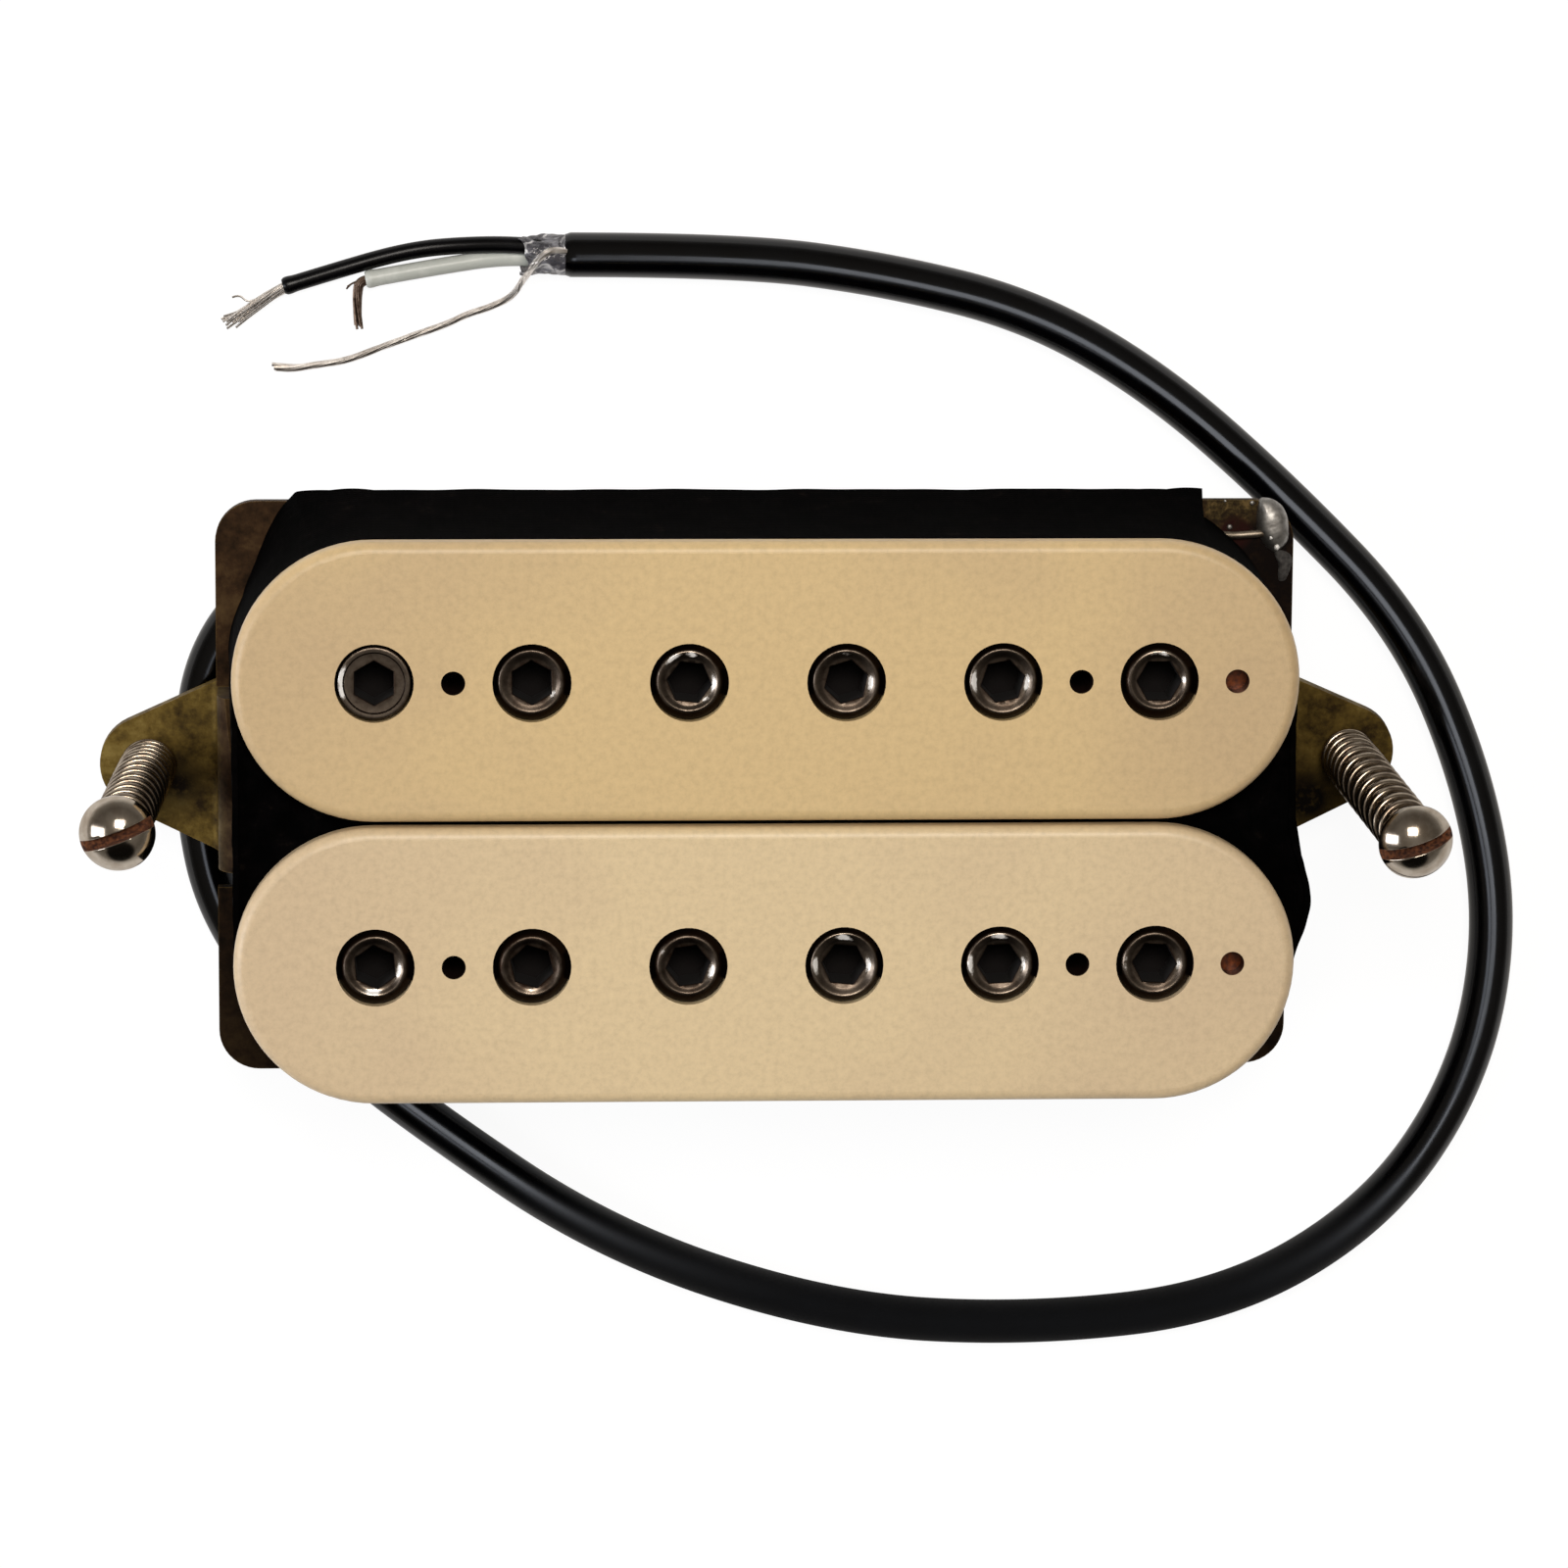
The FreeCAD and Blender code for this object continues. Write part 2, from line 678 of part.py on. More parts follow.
def spring_height(turn, open_pitch):
    """How high the spring's wire has climbed after some turns: close turns, a soft change, then open ones."""
    climb = spring_close_pitch * turn
    past = turn - spring_close_turns
    if past > 0:
        blend = min(past, 1.0)
        eased = blend ** 3 - blend ** 4 / 2 + max(past - 1.0, 0.0)
        climb += (open_pitch - spring_close_pitch) * eased
    return climb


def spring_point(turn, open_pitch, base):
    """The wire's centre and its direction after some turns."""
    angle = 2 * math.pi * turn
    step = 1e-4
    rise = (spring_height(turn + step, open_pitch) - spring_height(turn, open_pitch)) / step
    place = Vector(spring_radius * math.cos(angle), spring_radius * math.sin(angle),
                   base + spring_height(turn, open_pitch))
    way = Vector(-2 * math.pi * spring_radius * math.sin(angle),
                 2 * math.pi * spring_radius * math.cos(angle), rise)
    return place, way.normalize()


def two_arcs(start, start_way, end, end_way):
    """Two arcs that leave the start and reach the end along the given directions."""
    span = end - start
    ways = start_way + end_way
    a = ways.dot(ways) - 4
    b = -2 * span.dot(ways)
    c = span.dot(span)
    arm = (-b - math.sqrt(b * b - 4 * a * c)) / (2 * a)
    first = start + start_way * arm
    second = end - end_way * arm
    joint = (first + second) * 0.5
    arcs = []
    for begin, corner, finish in ((start, first, joint), (joint, second, end)):
        weight = (finish - begin).Length / (2 * arm)
        middle = (begin + corner * (2 * weight) + finish) * (1 / (2 + 2 * weight))
        arcs.append(Part.Arc(begin, middle, finish).toShape())
    return arcs


def make_height_spring(side):
    """One open-wound spring between the foot and the screw's head, as a single tube."""
    turns = spring_close_turns + spring_open_turns
    base = spring_wire_radius + seat_gap
    climb = spring_length() - 2 * base
    eased_turns = spring_open_turns - 0.5
    open_pitch = spring_close_pitch + (climb - spring_close_pitch * turns) / eased_turns
    halves = [spring_point(i / 2, open_pitch, base) for i in range(2 * turns + 1)]
    edges = []
    for (start, start_way), (end, end_way) in zip(halves, halves[1:]):
        edges += two_arcs(start, start_way, end, end_way)
    path = Part.Wire(edges)
    start, way = halves[0]
    section = sided_section(spring_wire_radius, spring_wire_side_count, start, way)
    spring = path.makePipeShell([section], True, False)
    samples = [spring_point(i / 16, open_pitch, base)[0] for i in range(16 * turns + 1)]
    gap = min((a - b).Length for i, a in enumerate(samples) for b in samples[i + 8:]) - 2 * spring_wire_radius
    swept = math.pi * spring_wire_radius ** 2 * path.Length
    print("height_spring", side, "least gap to itself", round(gap, 3), "open pitch", round(open_pitch, 3),
          "volume over section times length", round(spring.Volume / swept, 4))
    spring.Placement = screw_frame(side)
    return spring


def make_ground_solder(wire):
    """Drops of solder that run together over the end of the ground wire."""
    drops = []
    for x_share, y_share, radius_share, height_share in solder_drop_shares:
        x = plate_length / 2 - x_share * solder_radius
        y = plate_width / 2 - y_share * solder_radius
        radius = radius_share * solder_radius
        height = height_share * solder_radius
        ball = (radius ** 2 + height ** 2) / (2 * height)
        centre = Vector(x, y, plate_top + height - ball)
        room = block(x - radius, x + radius, y - radius, y + radius, plate_top, plate_top + height)
        drops.append(Part.makeSphere(ball, centre).common(room))
    return drops[0].fuse(drops[1:]).removeSplitter().cut(wire)


def make_splice_sleeves():
    """The sleeves over the two joints between the coils' ends and the lead's cores."""
    sleeves = [round_bar(splice_radius, route[-1][0], route[-1][1], splice_level, splice_length)
               for route in (white_inner_route, black_inner_route)]
    return Part.makeCompound(sleeves)


def make_lead_wrap(drain):
    """The clear film round the cores where they leave the jacket, open where the drain wire comes out."""
    end = Vector(*lead_route[-1])
    outer = Part.makeCylinder(wrap_outer_radius, wrap_length, end, x_axis * -1)
    bore = Part.makeCylinder(wrap_outer_radius - wrap_thickness, wrap_length + overrun, end, x_axis * -1)
    return hollowed(outer, [bore, drain])


def make_parts():
    """Every named piece of the pickup."""
    parts = {
        "baseplate": make_baseplate(),
        "magnet": make_magnet(),
        "outer_tape": make_outer_tape(),
        "bobbin_screws": make_bobbin_screws(),
        "splice_sleeves": make_splice_sleeves(),
    }
    rows = (("back", row_y, socket_turns_back), ("front", -row_y, socket_turns_front))
    for row, y, turns in rows:
        parts["keeper_bar_" + row] = make_keeper_bar(y)
        parts["bobbin_" + row] = make_bobbin(y)
        parts["coil_" + row] = make_coil(y)
        parts["coil_tape_" + row] = make_coil_tape(y)
        for i, x in enumerate(pole_xs):
            parts["pole_screw_%s_%d" % (row, i + 1)] = make_pole_screw(x, y, turns[i])
    for name, side in (("left", -1), ("right", 1)):
        parts["height_screw_" + name] = make_height_screw(side)
        parts["height_spring_" + name] = make_height_spring(side)
    corner = {4: white_core_corner}
    parts["inner_white_wire"] = tube("inner_white_wire", white_inner_route, core_radius, corner)
    corner = {4: black_core_corner}
    parts["inner_black_wire"] = tube("inner_black_wire", black_inner_route, core_radius, corner)
    parts["ground_wire"] = tube("ground_wire", ground_wire_route, drain_radius)
    parts["ground_solder"] = make_ground_solder(parts["ground_wire"])
    parts["lead_jacket"] = tube("lead_jacket", lead_route, lead_radius)
    parts["lead_black_core"] = tube("lead_black_core", black_core_route, black_core_radius)
    parts["lead_black_strands"] = tube("lead_black_strands", black_strand_route, black_strand_radius)
    parts["lead_white_core"] = tube("lead_white_core", white_core_route, core_radius)
    parts["lead_white_strands"] = tube("lead_white_strands", white_strand_route, white_strand_radius)
    parts["lead_drain_wire"] = tube("lead_drain_wire", drain_route, drain_radius)
    parts["lead_wrap"] = make_lead_wrap(parts["lead_drain_wire"])
    return parts


os.makedirs("parts", exist_ok=True)
for node, shape in make_parts().items():
    if not shape.isValid():
        print("not valid:", node)
    shape.exportStep("parts/" + node + ".step")
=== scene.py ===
# %% [markdown]
# # A guitar pickup
# A pickup is two coils side by side on a small brass plate. Strings pass over its twelve steel poles, two
# sprung screws set its height in the guitar, and one thin screened lead takes its signal away. The shapes
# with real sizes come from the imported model. This lesson gives them their surfaces: threads, wound wire,
# frayed strands, cloth tape, solder and the finish of each metal and plastic.

# %% Load the frame
import bmesh
import bpy
import json
import math
import numpy as np
from mathutils import Matrix


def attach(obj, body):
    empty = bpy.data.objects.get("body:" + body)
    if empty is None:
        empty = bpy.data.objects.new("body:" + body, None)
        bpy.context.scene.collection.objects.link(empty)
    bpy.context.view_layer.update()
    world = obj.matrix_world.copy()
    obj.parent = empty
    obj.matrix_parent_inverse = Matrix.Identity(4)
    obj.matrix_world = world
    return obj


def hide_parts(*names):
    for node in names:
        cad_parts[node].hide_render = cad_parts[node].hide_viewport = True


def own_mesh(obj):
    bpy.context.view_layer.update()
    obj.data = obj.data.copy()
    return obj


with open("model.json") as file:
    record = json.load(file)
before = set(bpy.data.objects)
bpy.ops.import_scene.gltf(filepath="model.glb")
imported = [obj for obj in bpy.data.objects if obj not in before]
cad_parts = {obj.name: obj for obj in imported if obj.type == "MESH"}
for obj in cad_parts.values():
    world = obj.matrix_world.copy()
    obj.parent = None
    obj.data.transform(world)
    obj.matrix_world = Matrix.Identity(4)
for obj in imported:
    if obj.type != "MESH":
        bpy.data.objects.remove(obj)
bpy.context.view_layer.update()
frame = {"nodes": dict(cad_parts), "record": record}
mm = 0.001

# %% [markdown]
# ## Sizes
# All sizes are in millimetres, as a maker would write them. Most are the model's own, written again here
# because the fine pieces have to seat on it: a screw's thread stays inside its hole, and a spring stays
# between its foot and its head.

# %% Sizes shared by several pieces
plate_top = 0.9
bobbin_top = 15.0
row_y = 8.93
pole_pitch = 9.72
pole_radius = 2.413
foot_x = 38.95
foot_drop = 6.3
foot_lean = {"left": 4.0, "right": 6.0}
front_lean = {"left": 3.5, "right": 8.0}
floor_level = -9.5
spring_room = 18.15
screw_length = 19.05


def screw_frame(side):
    """The frame of one height screw: turned about Y by its lean, set on its foot, then both turned about X."""
    sign = 1 if side == "right" else -1
    lean = Matrix.Rotation(math.radians(sign * foot_lean[side]), 4, "Y")
    foot = Matrix.Translation((sign * foot_x, 0, -foot_drop))
    lift = Matrix.Translation((0, 0, plate_top))
    front = Matrix.Rotation(math.radians(front_lean[side]), 4, "X")
    return np.array(lift @ front @ foot @ lean)


def placed(points, matrix):
    """Points carried by a 4 by 4 matrix."""
    return points @ matrix[:3, :3].T + matrix[:3, 3]


# %% [markdown]
# ## From grids of points to meshes
# Almost every piece here is a grid: rows of points along it and columns round it. Neighbouring points make
# quads. If the quads' signed volume comes out below zero they face inwards, and the order of their corners
# is turned round. Rows that shrink to one point, as at a screw's tip, are welded afterwards.

# %% Grid helpers
def surface(points, close_rows=False, close_columns=True):
    """A grid of points as (points, quads), its quads turned so that the volume they enclose is positive."""
    rows, columns = points.shape[:2]
    index = np.arange(rows * columns).reshape(rows, columns)
    if close_rows:
        index = np.concatenate([index, index[:1]])
    if close_columns:
        index = np.concatenate([index, index[:, :1]], axis=1)
    quads = np.stack([index[:-1, :-1], index[1:, :-1], index[1:, 1:], index[:-1, 1:]], axis=-1).reshape(-1, 4)
    flat = points.reshape(-1, 3)
    middle = flat.mean(axis=0)
    a, b, c, d = (flat[quads[:, k]] - middle for k in range(4))
    volume = np.sum(a * np.cross(b, c)) + np.sum(a * np.cross(c, d))
    return flat, quads if volume > 0 else quads[:, ::-1]


def piece(name, shapes, body, finish, sharp=40.0, **attributes):
    """One mesh object from several (points, quads) in millimetres, welded, shaded and riding on its body."""
    offsets = np.cumsum([0] + [len(points) for points, _ in shapes[:-1]])
    points = np.concatenate([points for points, _ in shapes]) * mm
    quads = np.concatenate([quads + offset for (_, quads), offset in zip(shapes, offsets)])
    mesh = bpy.data.meshes.new(name)
    mesh.vertices.add(len(points))
    mesh.vertices.foreach_set("co", points.astype(np.float32).ravel())
    mesh.loops.add(quads.size)
    mesh.loops.foreach_set("vertex_index", quads.astype(np.int32).ravel())
    mesh.polygons.add(len(quads))
    mesh.polygons.foreach_set("loop_start", np.arange(0, quads.size, 4, dtype=np.int32))
    mesh.update(calc_edges=True)
    for key, values in attributes.items():
        layer = mesh.attributes.new(key, "FLOAT", "POINT")
        layer.data.foreach_set("value", np.asarray(values, np.float32).ravel())
    welded = bmesh.new()
    welded.from_mesh(mesh)
    bmesh.ops.remove_doubles(welded, verts=welded.verts, dist=0.0005 * mm)
    bmesh.ops.dissolve_degenerate(welded, edges=welded.edges, dist=0.0005 * mm)
    welded.to_mesh(mesh)
    welded.free()
    mesh.shade_smooth()
    mesh.set_sharp_from_angle(angle=math.radians(sharp))
    made = bpy.data.objects.new(name, mesh)
    bpy.context.scene.collection.objects.link(made)
    made.data.materials.append(finish)
    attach(made, body)
    print(name, "faces", len(mesh.polygons))
    return made


def unit(vectors):
    """Vectors scaled to length one."""
    return vectors / np.linalg.norm(vectors, axis=-1, keepdims=True)


def capped(rings, first, last):
    """Rings of points closed at both ends, each by a ring shrunk to one point."""
    ends = [np.repeat(point[None, None], rings.shape[1], axis=1) for point in (first, last)]
    return surface(np.concatenate([ends[0], rings, ends[1]]))


def tube(path, radius, sides=16):
    """A closed round tube: each ring is the path's point plus radius times (side cos a + up sin a).

    side is square to the path and to a reference, which is Z on level runs and Y on upright ones.
    """
    along = unit(np.gradient(path, axis=0))
    steep = np.abs(along[:, 2:3])
    side = unit(np.cross(along, np.array([0, 0, 1.0]) * (1 - steep) + np.array([0, 1.0, 0]) * steep))
    up = np.cross(side, along)
    angle = np.linspace(0, 2 * np.pi, sides, endpoint=False)[None, :, None]
    radius = np.broadcast_to(radius, len(path))[:, None, None]
    rings = path[:, None] + radius * (side[:, None] * np.cos(angle) + up[:, None] * np.sin(angle))
    return capped(rings, path[0], path[-1])


def resampled(path, count):
    """The path's points again, evenly spaced along it."""
    travel = np.concatenate([[0], np.cumsum(np.linalg.norm(np.diff(path, axis=0), axis=1))])
    steps = np.linspace(0, travel[-1], count)
    return np.stack([np.interp(steps, travel, path[:, k]) for k in range(3)], axis=1)


def spline_points(route):
    """The points of the smooth curve over a route, read back from a spline that has no bevel."""
    curve = bpy.data.curves.new("route", "CURVE")
    curve.dimensions = "3D"
    spline = curve.splines.new("NURBS")
    spline.points.add(len(route) - 1)
    spline.points.foreach_set("co", np.column_stack([route, np.ones(len(route))]).ravel())
    spline.order_u = 3
    spline.use_endpoint_u = True
    spline.resolution_u = 24
    holder = bpy.data.objects.new("route", curve)
    mesh = bpy.data.meshes.new_from_object(holder)
    points = np.empty(3 * len(mesh.vertices), np.float32)
    mesh.vertices.foreach_get("co", points)
    bpy.data.meshes.remove(mesh)
    bpy.data.objects.remove(holder)
    bpy.data.curves.remove(curve)
    return points.reshape(-1, 3).astype(float)


# %% [markdown]
# ## The camera
# The photograph was taken from almost straight above, from about 42 cm away. Turning the model by these
# three small angles and moving it back by that distance puts every pole on its place in the picture, so the
# camera is the inverse of that move. The long lens keeps the perspective as slight as it is there.

# %% Camera
photo_width = 1600
focal_pixels = 6633.4
camera_turn = (0.1757, 0.0574, 0.0037)
camera_back = (-1.8886, 0.0808, -417.78)


def make_camera():
    """The camera that sees a point P at R P + t, with R = Rz Ry Rx."""
    about_x, about_y, about_z = (Matrix.Rotation(angle, 4, axis) for angle, axis in zip(camera_turn, "XYZ"))
    turn = about_z @ about_y @ about_x
    back = Matrix.Translation([step * mm for step in camera_back])
    data = bpy.data.cameras.new("camera")
    data.sensor_width = 36.0
    data.lens = focal_pixels * data.sensor_width / photo_width
    data.clip_start = 0.01
    data.clip_end = 10.0
    made = bpy.data.objects.new("camera", data)
    made.matrix_world = (back @ turn).inverted()
    bpy.context.scene.collection.objects.link(made)
    bpy.context.scene.camera = made
    print("lens in mm:", round(data.lens, 1))


make_camera()

# %% [markdown]
# ## Colours and shader nodes
# Colours are written as on a paint card, in sRGB hex, and one function turns them to the linear values that
# shaders use. One more adds a node, sets it and links it, and six short ones stand for the nodes used most,
# so that a material reads as a short recipe.

# %% Material helpers
def linear(hex_colour):
    """An sRGB hex colour as linear red, green, blue and alpha."""
    parts = [int(hex_colour[i:i + 2], 16) / 255 for i in (1, 3, 5)]
    return [c / 12.92 if c <= 0.04045 else ((c + 0.055) / 1.055) ** 2.4 for c in parts] + [1.0]


def add(tree, kind, settings=None, stops=None, **inputs):
    """Add one node. Inputs go by name, with _ for a space, or by number as in_6. A socket as a value is linked."""
    made = tree.nodes.new("ShaderNode" + kind)
    for key, value in (settings or {}).items():
        setattr(made, key, value)
    if stops:
        elements = made.color_ramp.elements
        while len(elements) < len(stops):
            elements.new(0.5)
        for element, (place, colour) in zip(elements, stops):
            element.position = place
            element.color = linear(colour) if isinstance(colour, str) else (colour, colour, colour, 1)
    for key, value in inputs.items():
        socket = made.inputs[int(key[3:])] if key[:3] == "in_" else made.inputs[key.replace("_", " ")]
        if isinstance(value, bpy.types.NodeSocket):
            tree.links.new(value, socket)
        else:
            socket.default_value = value
    return made


def maths(tree, operation, *values, clamp=False):
    """The result of a Math node on one or two values."""
    inputs = {"in_%d" % k: value for k, value in enumerate(values)}
    return add(tree, "Math", {"operation": operation, "use_clamp": clamp}, **inputs).outputs[0]


def mix(tree, share, first, second, blend="MIX"):
    """The colour that goes from the first to the second as share goes from 0 to 1."""
    settings = {"data_type": "RGBA", "blend_type": blend}
    return add(tree, "Mix", settings, in_0=share, in_6=first, in_7=second).outputs[2]


def noise(tree, place, cell, **inputs):
    """A noise from 0 to 1, whose cells are cell millimetres wide."""
    return add(tree, "TexNoise", Vector=place, Scale=per_metre(cell), **inputs).outputs["Fac"]


def graded(tree, value, stops):
    """The colour that a list of stops, each a value and a colour, gives at a value."""
    return add(tree, "ValToRGB", Fac=value, stops=stops).outputs["Color"]


def relief(tree, height, strength, distance):
    """The normal of a surface that a height pushes out by up to a distance."""
    return add(tree, "Bump", Strength=strength, Distance=distance, Height=height).outputs["Normal"]


def remap(tree, value, low, high, at_low, at_high):
    """A straight line: value low gives at_low, value high gives at_high, and it is level beyond both."""
    return add(tree, "MapRange", Value=value, in_1=low, in_2=high, in_3=at_low, in_4=at_high).outputs[0]


def new_finish(name):
    """An empty material, its node tree and its Object coordinates in metres."""
    made = bpy.data.materials.new(name)
    made.use_nodes = True
    tree = made.node_tree
    tree.nodes.clear()
    place = add(tree, "TexCoord").outputs["Object"]
    return made, tree, place


def close_finish(tree, shader):
    """Link a shader to the material's output."""
    add(tree, "OutputMaterial", Surface=shader.outputs[0])


def per_metre(size):
    """A texture's scale, so that one of its cells is size millimetres wide."""
    return 1 / (size * mm)


# %% [markdown]
# ## Moulded cream plastic
# The bobbins are injection-moulded ABS, which has yellowed with age. The mould was spark-eroded, so the
# faces have a fine dull grain of about a tenth of a millimetre. Handling has left faint paler and browner
# clouds a few millimetres across.

# %% Bobbin plastic
# The colours of the front and the back bobbin, each in its middle and at its ends; the back one is darker by
# painted shade
creams_with_painted_shade = (("#dcc69d", "#d0b996"), ("#d4b987", "#c5ab82"))


def bobbin_plastic():
    """Cream ABS: the back bobbin is darker by painted shade, both are browner to their ends, under clouds, mottle
    and grain.
    """
    made, tree, place = new_finish("moulded cream ABS")
    clouds = noise(tree, place, 14, Detail=2.0, Roughness=0.5)
    mottle = noise(tree, place, 0.5, Detail=3.0, Roughness=0.7)
    grain = noise(tree, place, 0.12, Detail=1.0)
    parts = add(tree, "SeparateXYZ", Vector=place)
    along = maths(tree, "ABSOLUTE", parts.outputs["X"])
    # Browner towards the ends, and in faint clouds
    end_and_cloud_tone = remap(tree, along, 4 * mm, 32 * mm, -0.25, 0.8)
    end_and_cloud_tone = maths(tree, "ADD", end_and_cloud_tone, remap(tree, clouds, 0.3, 0.7, -0.3, 0.5), clamp=True)
    at_back = maths(tree, "GREATER_THAN", parts.outputs["Y"], 0.0)
    shades = [mix(tree, end_and_cloud_tone, linear(middle), linear(end)) for middle, end in creams_with_painted_shade]
    base = mix(tree, at_back, shades[0], shades[1])
    speck = graded(tree, mottle, [(0.3, 0.88), (0.52, 0.98), (0.75, 1.05)])
    colour = mix(tree, 1.0, base, speck, blend="MULTIPLY")
    # A dark brown band on the bobbins' top edges along the gap between them: painted shade, with some dirt
    far = maths(tree, "ABSOLUTE", parts.outputs["Y"])
    off = maths(tree, "SUBTRACT", far, row_y * mm)
    off = maths(tree, "ABSOLUTE", off)
    near = maths(tree, "LESS_THAN", off, 0.9 * mm)
    inside = maths(tree, "LESS_THAN", along, 31 * mm)
    low = remap(tree, parts.outputs["Z"], 14.8 * mm, 14.995 * mm, 1.0, 0.0)
    dirt_and_shade = maths(tree, "MULTIPLY", near, inside)
    dirt_and_shade = maths(tree, "MULTIPLY", dirt_and_shade, low)
    final = mix(tree, dirt_and_shade, colour, linear("#1d0c06"))
    bump = relief(tree, grain, 0.3, 0.02 * mm)
    close_finish(tree, add(tree, "BsdfPrincipled", Base_Color=final, Roughness=0.42, IOR=1.53,
                           Normal=bump))
    return made


# %% [markdown]
# ## Tarnished brass
# The plate and feet are rolled brass sheet, once bright. Years of air have given them an olive-brown film
# that is thicker in blotches, and fingers and the guitar's ring have rubbed the edges back to metal. The film
# is matt, so the roughness follows the same blotches. A bevel normal finds the edges.

# %% Plate brass
def near_point(tree, place, x, y, reach, soft):
    """A mask that is 1 within reach of a point seen from above, and falls to 0 over soft, all in millimetres."""
    parts = add(tree, "SeparateXYZ", Vector=place)
    flat = add(tree, "CombineXYZ", X=parts.outputs["X"], Y=parts.outputs["Y"])
    away = add(tree, "VectorMath", {"operation": "DISTANCE"}, in_0=flat.outputs[0], in_1=(x * mm, y * mm, 0))
    return remap(tree, away.outputs["Value"], reach * mm, (reach + soft) * mm, 1.0, 0.0)


# Flux beside and on the bare corner, and painted shade by the two springs: a place, a reach, a soft edge and a
# colour
plate_stains_and_shade = ((32.6, 13.4, 3.5, 0.6, "#0c0503"), (30.6, 16.3, 0.8, 0.5, "#240c08"),
                (-37.0, -0.9, 0.4, 2.4, "#120c06"), (36.6, -2.2, 0.9, 2.2, "#0a0603"))


def plate_brass():
    """Brass under a patchy film: brown on the flat plate, olive on the legs, painted shade by the springs, burnt
    flux.
    """
    made, tree, place = new_finish("tarnished rolled brass")
    blotch = noise(tree, place, 3.2, Detail=5.0, Roughness=0.6)
    spots = noise(tree, place, 0.6, Detail=4.0, Roughness=0.7)
    film = add(tree, "Mix", {"data_type": "FLOAT"}, in_0=0.35, in_2=blotch, in_3=spots)
    flat = graded(tree, film.outputs[0], [(0.36, "#1a1006"), (0.5, "#342313"), (0.64, "#4b3922")])
    legs = graded(tree, film.outputs[0], [(0.38, "#2e2210"), (0.46, "#4f3f1c"), (0.54, "#665326"),
                                          (0.66, "#83703c")])
    parts = add(tree, "SeparateXYZ", Vector=place)
    along = maths(tree, "ABSOLUTE", parts.outputs["X"])
    on_leg = remap(tree, along, 33.6 * mm, 34.7 * mm, 0.0, 1.0)
    low = remap(tree, parts.outputs["Z"], -0.6 * mm, 0.6 * mm, 1.0, 0.0)
    # The flat plate darkens towards the front
    darker_to_front = remap(tree, parts.outputs["Y"], -11 * mm, 4 * mm, 0.4, 1.0)
    flat = mix(tree, 1.0, flat, darker_to_front, blend="MULTIPLY")
    leg_share = maths(tree, "MULTIPLY", on_leg, low)
    colour = mix(tree, leg_share, flat, legs)
    patch = near_point(tree, place, 30.4, 18.0, 1.5, 0.7)
    bare = graded(tree, spots, [(0.38, "#251b0f"), (0.5, "#3f331c"), (0.62, "#665332")])
    colour = mix(tree, patch, colour, bare)
    ragged = remap(tree, spots, 0.3, 0.5, 0.55, 1.0)
    for x, y, reach, soft, stain_and_shade_colour in plate_stains_and_shade:
        share = maths(tree, "MULTIPLY", near_point(tree, place, x, y, reach, soft), ragged)
        colour = mix(tree, share, colour, linear(stain_and_shade_colour))
    rubbed = add(tree, "Bevel", Radius=0.12 * mm)
    normal = add(tree, "NewGeometry")
    likeness = add(tree, "VectorMath", {"operation": "DOT_PRODUCT"}, in_0=rubbed.outputs["Normal"],
                   in_1=normal.outputs["Normal"])
    edge = graded(tree, likeness.outputs["Value"], [(0.9, 0.5), (0.98, 0.0)])
    worn = maths(tree, "MULTIPLY", edge, spots)
    final = mix(tree, worn, colour, linear("#957843"))
    rough = remap(tree, film.outputs[0], 0.35, 0.65, 0.66, 0.46)
    bump = relief(tree, spots, 0.3, 0.03 * mm)
    close_finish(tree, add(tree, "BsdfPrincipled", Base_Color=final, Metallic=0.45,
                           Roughness=rough, Specular_IOR_Level=0.1, Normal=bump))
    return made


# %% [markdown]
# ## Black tape
# Cloth tape holds the windings. Its weave is far finer than the picture shows, so it is drawn a little
# coarser, at a third of a millimetre, with dust and lint as a brown-grey veil.

# %% Cloth tape
def cloth_tape():
    """Black cotton tape: two crossed waves for the weave, and a faint veil of dust."""
    made, tree, place = new_finish("black cotton tape")
    warp = add(tree, "TexWave", {"bands_direction": "X"}, Vector=place, Scale=per_metre(1.3), Distortion=0.6)
    weft = add(tree, "TexWave", {"bands_direction": "Z"}, Vector=place, Scale=per_metre(1.3), Distortion=0.6)
    weave = maths(tree, "MULTIPLY", warp.outputs["Fac"], weft.outputs["Fac"])
    dust = noise(tree, place, 1.8, Detail=5.0, Roughness=0.7)
    colour = graded(tree, dust, [(0.45, "#020202"), (0.62, "#050404"), (0.78, "#191410")])
    bump = relief(tree, weave, 0.35, 0.04 * mm)
    close_finish(tree, add(tree, "BsdfPrincipled", Base_Color=colour, Roughness=0.9,
                           Specular_IOR_Level=0.01, Normal=bump))
    return made
